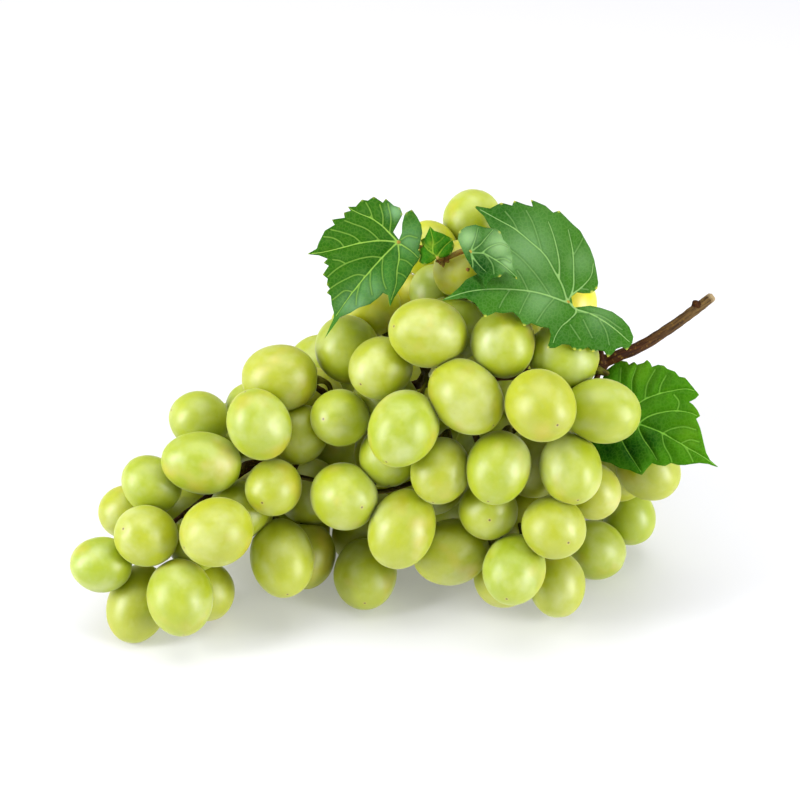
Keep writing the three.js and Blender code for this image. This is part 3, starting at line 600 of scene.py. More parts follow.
# the way of a short stalk, from its foot on a longer one to its berry
def pedicelPoints(berry, foot, count):
    centre, axis = np.array(berry["centre"]), np.array(berry["axis"])
    start = centre - axis * (berry["length"] / 2 + pedicel["gap"])
    neck = start - axis * pedicel["neck"]
    bend = foot + (neck - foot) * 0.5
    t = np.linspace(0, 1, count + 1)[:, None]
    u = 1 - t
    return u * u * u * foot + 3 * u * u * t * bend + 3 * u * t * t * neck + t * t * t * start


# whether a short stalk passes every berry, apart from its own at its end
def isClear(points, own, others):
    for i, point in enumerate(points):
        between = point - others["centre"]
        distance = np.sqrt(dot(between, between))
        reaches = reachMany(others["axis"], others["length"], others["width"], between / distance[:, None])
        room = distance - reaches * pedicel["swell"] - pedicel["radius"]
        wanted = np.full(len(room), pedicel["room"])
        if i > pedicel["endStep"]:
            wanted[own] = -pedicel["sink"]
        if (room <= wanted).any():
            return False
    return True


# each berry hangs on the nearest stalk that a free way leads to
def growPedicels(berries, lines):
    starts, ends, _ = lines
    runs = ends - starts
    others = arrays(berries)
    ways = []
    for own, berry in enumerate(berries):
        stemEnd = np.array(berry["centre"]) - np.array(berry["axis"]) * berry["length"] / 2
        share = np.clip(dot(runs, stemEnd - starts) / dot(runs, runs), 0, 1)
        feet = starts + runs * share[:, None]
        distances = np.sqrt(dot(feet - stemEnd, feet - stemEnd))
        for i in np.argsort(distances, kind="stable"):
            way = pedicelPoints(berry, feet[i], pedicel["checkSteps"])
            if distances[i] < pedicel["reach"] and isClear(way, own, others):
                ways.append((own, feet[i]))
                break
    return ways


def placeBerries():
    lines = stalkLines()
    berries = placeFaceBerries(lines)
    settleFace(berries, lines)
    fillBehind(berries, lines)
    pressTogether(berries, lines)
    return berries, growPedicels(berries, lines)


def linear(colour):
    parts = [int(colour[i:i + 2], 16) / 255 for i in (1, 3, 5)]
    return tuple(c / 12.92 if c <= 0.04045 else ((c + 0.055) / 1.055) ** 2.4 for c in parts) + (1.0,)


def newMaterial(name):
    material = bpy.data.materials.new(name)
    material.use_nodes = True
    material.node_tree.nodes.clear()
    return material, material.node_tree


def addNode(tree, kind, inputs=(), **settings):
    node = tree.nodes.new("ShaderNode" + kind)
    for name, value in settings.items():
        setattr(node, name, value)
    for name, value in dict(inputs).items():
        if isinstance(value, bpy.types.NodeSocket):
            tree.links.new(value, node.inputs[name])
        elif isinstance(value, str):
            node.inputs[name].default_value = linear(value)
        else:
            node.inputs[name].default_value = value
    return node


# Each layer is a value of the skin, its low and high end, the layer's share at both, and its colour.
def laidOver(tree, colour, layers):
    for source, low, high, first, last, over in layers:
        share = addNode(tree, "MapRange", {0: source, 1: low, 2: high, 3: first, 4: last}).outputs[0]
        colour = addNode(tree, "Mix", {0: share, 6: colour, 7: over}, data_type="RGBA").outputs[2]
    return colour


def meshFrom(bm, name):
    mesh = bpy.data.meshes.new(name)
    bm.to_mesh(mesh)
    bm.free()
    return mesh


def newObject(name, data):
    made = bpy.data.objects.new(name, data)
    bpy.context.scene.collection.objects.link(made)
    return made


def addPiece(name, mesh, slotName, materials, replaced):
    mesh.shade_smooth()
    for material in materials:
        mesh.materials.append(material)
    piece = newObject(name, mesh)
    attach(piece, "root")
    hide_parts(replaced)
    return piece


def setAttributes(mesh, attributes):
    for name, values in attributes.items():
        values = np.asarray(values, dtype=np.float32)
        kind, key = ("FLOAT_VECTOR", "vector") if values.ndim == 2 else ("FLOAT", "value")
        mesh.attributes.new(name, kind, "POINT").data.foreach_set(key, values.ravel())


def readPoints(mesh):
    points = np.empty(len(mesh.vertices) * 3, dtype=np.float32)
    mesh.vertices.foreach_get("co", points)
    return points.reshape(-1, 3).astype(float)


def writePoints(mesh, points):
    mesh.vertices.foreach_set("co", np.asarray(points, dtype=np.float32).ravel())
    mesh.update()


noiseShift = (17.3, 5.1, 9.7)  # how far apart the noises of two seeds are


def noiseAt(points, scale, seed):
    shift = Vector([seed * step for step in noiseShift])
    return np.array([noise.noise(Vector(point) * scale + shift) for point in points])


berryLook = {
    "subdivisions": 4,
    "taper": (-0.03, 0.05),  # least and most that a berry is slimmer at its tip than in the middle
    "oval": 0.015,  # how far its girth may be from round
    "slimEnds": 0.012,  # how much slimmer it is at both ends
    "lump": 0.2,  # mm, how far the skin swells or sinks
    "lumpScale": 1.1,
    "lumpSeeds": 90,
    "patternShift": 400,  # mm, how far one berry's pattern may be from another's
    "stemDimple": (0.8, 2.0),  # mm deep and wide, at the stem end
    "tipDimple": (0.2, 1.3),  # mm deep and wide, at the other end
    # painted glow: how yellow the berries under the leaves are painted, as light shining through them, by
    # their place in the list
    "paintedGlow": {47: 0.4, 49: 0.8, 50: 0.4, 51: 0.4, 52: 0.1, 53: 1.0, 55: 0.5, 56: 0.5, 57: 0.7},
    # a few berries are plumper than their solids, and the hidden ones fill out the gaps behind the others
    "plump": {15: 1.02, 19: 1.06, 27: 1.03, 35: 1.03, 36: 1.12, 45: 1.1, 46: 1.05},
    "fill": 1.04,
    # more berries deep in the gaps, which the solids do without: across, up, out, diameter
    "deep": [
        (-29.5, -29.5, -11.0, 22), (40.2, -37.4, 0.5, 21), (25.6, 26.6, -15.5, 18),
        (-53.1, -8.4, -23.0, 17),
    ],
    "gap": 0.03,  # mm between two berries that press on each other
    "softness": 0.5,  # mm over which a pressed place rounds off
    "seed": 41,
}


# moves the points that lie past a plane back to it, with a rounded rim
def pressFlat(points, centre, direction, limit, softness):
    excess = (points - centre) @ direction - limit
    soft = np.clip(excess + softness, 0, 2 * softness)
    back = soft * soft / (4 * softness) + np.maximum(0, excess - softness)
    return points - np.outer(back, direction)


# how deep a dimple is at a distance from its middle
def dimple(radial, deep, wide):
    return deep * np.exp(-(radial / wide) ** 2)


# the points of one berry, in mm, first from its own middle and then in the bunch
def berryPoints(template, berry, draw):
    h, w = berry["length"] / 2, berry["width"] / 2
    taper = draw.uniform(*berryLook["taper"])
    oval = draw.uniform(-berryLook["oval"], berryLook["oval"])
    seed = draw.uniform(0, berryLook["lumpSeeds"])
    lumps = noiseAt(template, berryLook["lumpScale"], seed) * berryLook["lump"]
    x, y, z = template.T
    width = w * (1 - taper * z - berryLook["slimEnds"] * z * z)
    local = np.column_stack([x * width * (1 + oval), y * width * (1 - oval), z * h])
    local += template * lumps[:, None]
    radial = np.hypot(local[:, 0], local[:, 1])
    local[:, 2] += np.where(z < 0, dimple(radial, *berryLook["stemDimple"]), 0)
    local[:, 2] -= np.where(z > 0, dimple(radial, *berryLook["tipDimple"]), 0)
    axis = np.array(berry["axis"])
    isUpright = abs(axis[2]) >= 0.9
    side = np.cross(axis, (1.0, 0.0, 0.0) if isUpright else (0.0, 0.0, 1.0))
    side /= np.linalg.norm(side)
    turn = draw.uniform(0, 2 * math.pi)
    first = side * math.cos(turn) + np.cross(axis, side) * math.sin(turn)
    turned = np.array([first, np.cross(axis, first), axis])
    return local, np.array(berry["centre"]) + local @ turned


# The berries of the face come first in the list, then those that fill the bunch, then the deep ones.
def plumpness(i, count):
    isFill = len(bunch["face"]) <= i < count - len(berryLook["deep"])
    return berryLook["plump"].get(i, berryLook["fill"] if isFill else 1)


# presses a berry's points flat where it meets the others, halfway by their reach, and on the table
def pressBerry(points, i, everything):
    centre, softness = everything["centre"][i], berryLook["softness"]
    between = everything["centre"] - centre
    distance = np.sqrt(dot(between, between))
    for j in np.flatnonzero((distance > 0) & (distance < bunch["farApart"][0])):
        unit = between[j] / distance[j]
        own, other = (
            reachOne(everything["axis"][k], everything["length"][k], everything["width"][k], *unit)
            for k in (i, j)
        )
        limit = distance[j] * own / (own + other) - berryLook["gap"]
        points = pressFlat(points, centre, unit, limit, softness)
    return pressFlat(points, centre, np.array((0.0, 0.0, -1.0)), centre[2], softness)


def addBerries(berries):
    start = bmesh.new()
    bmesh.ops.create_icosphere(start, subdivisions=berryLook["subdivisions"], radius=1)
    template = np.array([vert.co[:] for vert in start.verts])
    single = meshFrom(start, "berryTemplate")
    draw = random.Random(berryLook["seed"])
    everything = arrays(berries)
    bm = bmesh.new()
    places, skins, patterns, tints, paintedGlows = [], [], [], [], []
    for i, berry in enumerate(berries):
        plump = plumpness(i, len(berries))
        berry = dict(berry, length=berry["length"] * plump, width=berry["width"] * plump)
        bm.from_mesh(single)
        local, points = berryPoints(template, berry, draw)
        places.append(pressBerry(points, i, everything))
        skins.append(local)
        patterns.append(local + draw.uniform(0, berryLook["patternShift"]))
        tints.append(np.full(len(local), draw.uniform(-1, 1)))
        # the painted glow of light shining through this berry
        paintedGlows.append(np.full(len(local), berryLook["paintedGlow"].get(i, 0)))
    mesh = meshFrom(bm, "berriesSkin")
    bpy.data.meshes.remove(single)
    writePoints(mesh, toScene(np.concatenate(places)))
    marks = {"skinMm": skins, "patternMm": patterns, "tint": tints, "paintedGlow": paintedGlows}
    setAttributes(mesh, {name: np.concatenate(values) for name, values in marks.items()})
    addPiece("berriesSkin", mesh, "grape_skin", [grapeSkin()], "berries")


# Grape skin under its own wax: a juicy, see-through body that light sinks into, a soft broad shine,
# and a pale bloom that is rubbed off in places. It has a brown scar at the end away from the stalk. The
# berries under the leaves get a painted yellow glow of light shining through them.
def grapeSkin():
    material, tree = newMaterial("waxyGrapeSkin")
    skin, pattern = (
        addNode(tree, "Attribute", attribute_name=key).outputs["Vector"] for key in ("skinMm", "patternMm")
    )
    tint, paintedGlow = (
        addNode(tree, "Attribute", attribute_name=key).outputs["Fac"] for key in ("tint", "paintedGlow")
    )
    cloud, bloom, blush = (
        addNode(tree, "TexNoise", {"Vector": pattern, "Scale": scale, "Detail": detail}).outputs[0]
        for scale, detail in ((0.11, 3.0), (0.09, 3.0), (0.07, 2.0))
    )
    wax = addNode(tree, "TexNoise", {
        "Vector": pattern, "Scale": 0.3, "Detail": 6.0, "Roughness": 0.6,
    }).outputs[0]
    # faint lines that run from end to end
    x, y, z = addNode(tree, "SeparateXYZ", {0: skin}).outputs
    angle = addNode(tree, "Math", {0: y, 1: x}, operation="ARCTAN2").outputs[0]
    around = addNode(tree, "Math", {0: angle, 1: 6.0}, operation="MULTIPLY").outputs[0]
    length = addNode(tree, "Math", {0: z, 1: 0.06}, operation="MULTIPLY").outputs[0]
    lineway = addNode(tree, "CombineXYZ", {0: around, 1: length, 2: tint}).outputs[0]
    lines = addNode(tree, "TexNoise", {"Vector": lineway, "Scale": 1.0, "Detail": 2.0}).outputs[0]
    # tiny corky dots about 2 mm apart
    dots = addNode(tree, "TexVoronoi", {"Vector": pattern, "Scale": 0.5}).outputs["Distance"]
    # how far a place is from the middle of the scar, with the other end put out of its reach
    flat = addNode(tree, "CombineXYZ", {0: x, 1: y}).outputs[0]
    radial = addNode(tree, "VectorMath", {0: flat}, operation="LENGTH").outputs["Value"]
    stemSide = addNode(tree, "Math", {0: z, 1: 0.0}, operation="LESS_THAN").outputs[0]
    fromScar = addNode(tree, "Math", {0: stemSide, 1: 9.0, 2: radial}, operation="MULTIPLY_ADD").outputs[0]
    body = laidOver(tree, "#9cae02", (
        (tint, -1.0, 1.0, 0.0, 1.0, "#a9ae06"),
        # painted glow: light shining through the berries under the leaves, painted yellow
        (paintedGlow, 0.0, 1.0, 0.0, 1.0, "#e8e00c"),
        (cloud, 0.42, 0.7, 0.0, 0.35, "#b8c01a"),
        (lines, 0.45, 0.7, 0.0, 0.12, "#8fa813"),
        (dots, 0.05, 0.09, 0.35, 0.0, "#8c7a2a"),
        (wax, 0.45, 0.75, 0.0, 0.07, "#e3e8c4"),
        (bloom, 0.5, 0.72, 0.0, 0.32, "#d8deb8"),
        (blush, 0.58, 0.75, 0.0, 0.3, "#d6ac48"),  # a faint rusty blush here and there
        (fromScar, 0.5, 1.0, 0.35, 0.0, "#c9b36a"),  # the scar's paler ring
        (fromScar, 0.25, 0.45, 0.85, 0.0, "#4d3413"),  # and its dark point
    ))
    rough = addNode(tree, "MapRange", {0: wax, 1: 0.4, 2: 0.75, 3: 0.42, 4: 0.55}).outputs[0]
    bump = addNode(tree, "Bump", {"Height": wax, "Strength": 0.1, "Distance": 0.0001}).outputs[0]
    shader = addNode(tree, "BsdfPrincipled", {
        "Base Color": body, "Roughness": rough, "IOR": 1.5, "Normal": bump, "Specular IOR Level": 1.0,
        "Subsurface Weight": 1.0, "Subsurface Radius": (1.0, 0.9, 0.2), "Subsurface Scale": 0.008,
        "Sheen Weight": 0.2, "Sheen Roughness": 0.3, "Sheen Tint": "#fffff0",
    })
    addNode(tree, "OutputMaterial", {0: shader.outputs[0]})
    return material


def smoothCurve(points, step):
    spots = [facePoint(*point) for point in points]
    rough = sum(math.dist(a, b) for a, b in zip(spots, spots[1:]))
    return curvePoints(points, max(3, round(rough / step)))


# the direction of a chain of points at each one, and a normal that turns as little as it can
def aheadAndNormal(places):
    normal = (places[1] - places[0]).orthogonal().normalized()
    for i in range(len(places)):
        ahead = (places[min(i + 1, len(places) - 1)] - places[max(i - 1, 0)]).normalized()
        normal = (normal - ahead * normal.dot(ahead)).normalized()
        yield ahead, normal


# A closed round rod: a disc whose rim is drawn along the points, ring by ring.
def addRod(bm, points, radii):
    rod = bmesh.new()
    places = [Vector(point) for point in points]
    before = None
    edges = []
    for place, radius, (ahead, normal) in zip(places, radii, aheadAndNormal(places)):
        turned = Matrix((normal, ahead.cross(normal), ahead)).transposed().to_4x4()
        now = Matrix.Translation(place) @ turned @ Matrix.Diagonal((radius, radius, radius, 1))
        if before is None:
            bmesh.ops.create_circle(rod, cap_ends=True, segments=stem["sides"], radius=1, matrix=now)
            edges = rod.edges[:]
        else:
            made = bmesh.ops.extrude_edge_only(rod, edges=edges)["geom"]
            verts = [item for item in made if isinstance(item, bmesh.types.BMVert)]
            edges = [item for item in made if isinstance(item, bmesh.types.BMEdge)]
            edges = [edge for edge in edges if all(vert in verts for vert in edge.verts)]
            bmesh.ops.transform(rod, matrix=now @ before.inverted(), verts=verts)
        before = now
    bmesh.ops.contextual_create(rod, geom=edges)
    bmesh.ops.recalc_face_normals(rod, faces=rod.faces)
    mesh = meshFrom(rod, "rod")
    bm.from_mesh(mesh)
    bpy.data.meshes.remove(mesh)


def addKnot(bm, place, radius, uneven, grain):
    made = bmesh.ops.create_icosphere(bm, subdivisions=3, radius=radius)
    for vert in made["verts"]:
        vert.co *= 1 + uneven / radius * noise.noise(vert.co * grain)
        vert.co += Vector(place)


# the overlapping rods become one skin
def growTogether(bm, name, voxel):
    bmesh.ops.scale(bm, vec=(mm, mm, mm), verts=bm.verts)
    bmesh.ops.translate(bm, vec=Vector(-tablePoint * mm), verts=bm.verts)
    mesh = meshFrom(bm, name)
    rough = newObject(name, mesh)
    remesh = rough.modifiers.new("oneSkin", "REMESH")
    remesh.mode, remesh.voxel_size, remesh.adaptivity = "VOXEL", voxel * mm, 0
    relax = rough.modifiers.new("evenOut", "SMOOTH")
    relax.factor, relax.iterations = 0.5, 2
    shape = rough.evaluated_get(bpy.context.evaluated_depsgraph_get())
    skin = bpy.data.meshes.new_from_object(shape)
    bpy.data.objects.remove(rough)
    bpy.data.meshes.remove(mesh)
    skin.name = name
    return skin


# For each point of the skin: its place round and along the nearest stalk, and that stalk's tone.
def followStalks(points, rods):
    samples = []
    for way, _, (first, last) in rods:
        places = [Vector(place) for place in way]
        along = 0.0
        for i, (ahead, normal) in enumerate(aheadAndNormal(places)):
            along += math.dist(way[i], way[i - 1]) if i else 0.0
            tone = first + (last - first) * (i / (len(way) - 1))
            samples.append((way[i], np.array(normal), np.array(ahead), along, tone))
    tree = kdtree.KDTree(len(samples))
    for i, sample in enumerate(samples):
        tree.insert(toScene(sample[0]), i)
    tree.balance()
    nearest = np.array([tree.find(point)[1] for point in points])
    origin, normal, ahead, along, tone = (
        np.array([sample[k] for sample in samples])[nearest] for k in range(5)
    )
    offset = points / mm + tablePoint - origin
    across, aside = dot(offset, normal), dot(offset, np.cross(ahead, normal))
    return np.column_stack([across, aside, along + dot(offset, ahead)]), tone


barkShape = {
    "ridge": (1.1, 1.1, 0.14),  # how fine the ridges are, round and along the stalk
    "groove": (2.6, 2.6, 0.5),
    "lump": 0.35,  # how fine the lumps are
    "seeds": (3, 4, 5),
    "grooveShare": 0.5,
    "ridgeShare": 0.6,
}


def roughenBark(mesh, points, place, height):
    ridgeSeed, grooveSeed, lumpSeed = barkShape["seeds"]
    ridges = noiseAt(place * barkShape["ridge"], 1.0, ridgeSeed)
    ridges += barkShape["grooveShare"] * noiseAt(place * barkShape["groove"], 1.0, grooveSeed)
    lumps = noiseAt(points / mm, barkShape["lump"], lumpSeed)
    normals = np.empty(len(points) * 3, dtype=np.float32)
    mesh.vertices.foreach_get("normal", normals)
    move = (ridges * barkShape["ridgeShare"] + lumps) * height * mm
    writePoints(mesh, points + normals.reshape(-1, 3) * move[:, None])


# One piece of bark from rods, each with its points, radii and two tones.
def addBark(name, slotName, material, replaced, rods, look):
    bm = bmesh.new()
    for points, radii, _ in rods:
        addRod(bm, points, radii)
    if "knot" in look:
        addKnot(bm, facePoint(*look["rachis"][0]), *look["knot"])
    mesh = growTogether(bm, name, look["voxel"])
    points = readPoints(mesh)
    place, tone = followStalks(points, rods)
    roughenBark(mesh, points, place, look["bark"])
    setAttributes(mesh, {"barkMm": place, "tone": tone})
    addPiece(name, mesh, slotName, [material], replaced)


# the radius of a short stalk, which swells a little at its foot and more at the berry
def collared(points, radius):
    widest, length = stem["collar"]
    rise, reach = stem["foot"]
    fromEnd = np.cumsum([0.0] + [math.dist(a, b) for a, b in zip(points[::-1], points[-2::-1])])[::-1]
    fromStart = fromEnd[0] - fromEnd
    swell = (widest - radius) * np.exp(-((fromEnd / length) ** 2))
    return radius + swell + rise * np.exp(-((fromStart / reach) ** 2))


def addStem(berries, ways):
    rods = []
    for name, points in stalks:
        places = smoothCurve(points, stem["step"])
        rods.append((places, np.linspace(*stem["radii"][name], len(places)), stem["tones"][name]))
    depth = pedicel["gap"] + berryLook["stemDimple"][0] * pedicel["dimpleShare"]
    for own, foot in ways:
        berry = berries[own]
        places = pedicelPoints(berry, foot, pedicel["steps"])
        inward = np.array(berry["axis"]) * depth
        share = np.linspace(0, 1, len(places))[:, None]
        places = places + inward * share * share * share
        rods.append((places, collared(places, pedicel["radius"]), stem["tones"]["pedicels"]))
    addBark("stemBark", "stem_wood", stalkBark(), "stem", rods, stem)


# the place on the bark, its tone, and streaks that are drawn out along the stalk
def barkGrain(tree, stretch, detail):
    place = addNode(tree, "Attribute", attribute_name="barkMm").outputs["Vector"]
    tone = addNode(tree, "Attribute", attribute_name="tone").outputs["Fac"]
    drawn = addNode(tree, "VectorMath", {0: place, 1: stretch}, operation="MULTIPLY").outputs[0]
    streaks = addNode(tree, "TexNoise", {"Vector": drawn, "Scale": 1.0, "Detail": detail}).outputs[0]
    return place, tone, streaks


# Dry grape stalk: brown bark with fine ridges along it, darkest at the knot, greener and smoother
# toward the berries, and pale broken wood at the cut end.
def stalkBark():
    material, tree = newMaterial("dryGrapeStalk")
    place, tone, streaks = barkGrain(tree, (1.6, 1.6, 0.16), 5.0)
    flecks = addNode(tree, "TexNoise", {"Vector": place, "Scale": 0.9, "Detail": 4.0}).outputs[0]
    bark = laidOver(tree, "#402000", (
        (tone, 0.2, 1.0, 0.0, 1.0, "#66661a"),  # greener toward the berries
        (tone, -0.35, -0.85, 0.0, 1.0, "#66502c"),  # drier toward the cut end
        (streaks, 0.42, 0.62, 0.0, 0.75, "#1c0800"),
        (flecks, 0.58, 0.72, 0.0, 0.5, "#8c6a20"),
        (tone, -0.94, -0.99, 0.0, 0.85, "#b09c78"),  # the cut end
    ))
    bump = addNode(tree, "Bump", {"Height": streaks, "Strength": 0.6, "Distance": 0.0003}).outputs[0]
    shader = addNode(tree, "BsdfPrincipled", {
        "Base Color": bark, "Roughness": 0.65, "IOR": 1.45, "Normal": bump, "Specular IOR Level": 0.15,
    })
    addNode(tree, "OutputMaterial", {0: shader.outputs[0]})
    return material


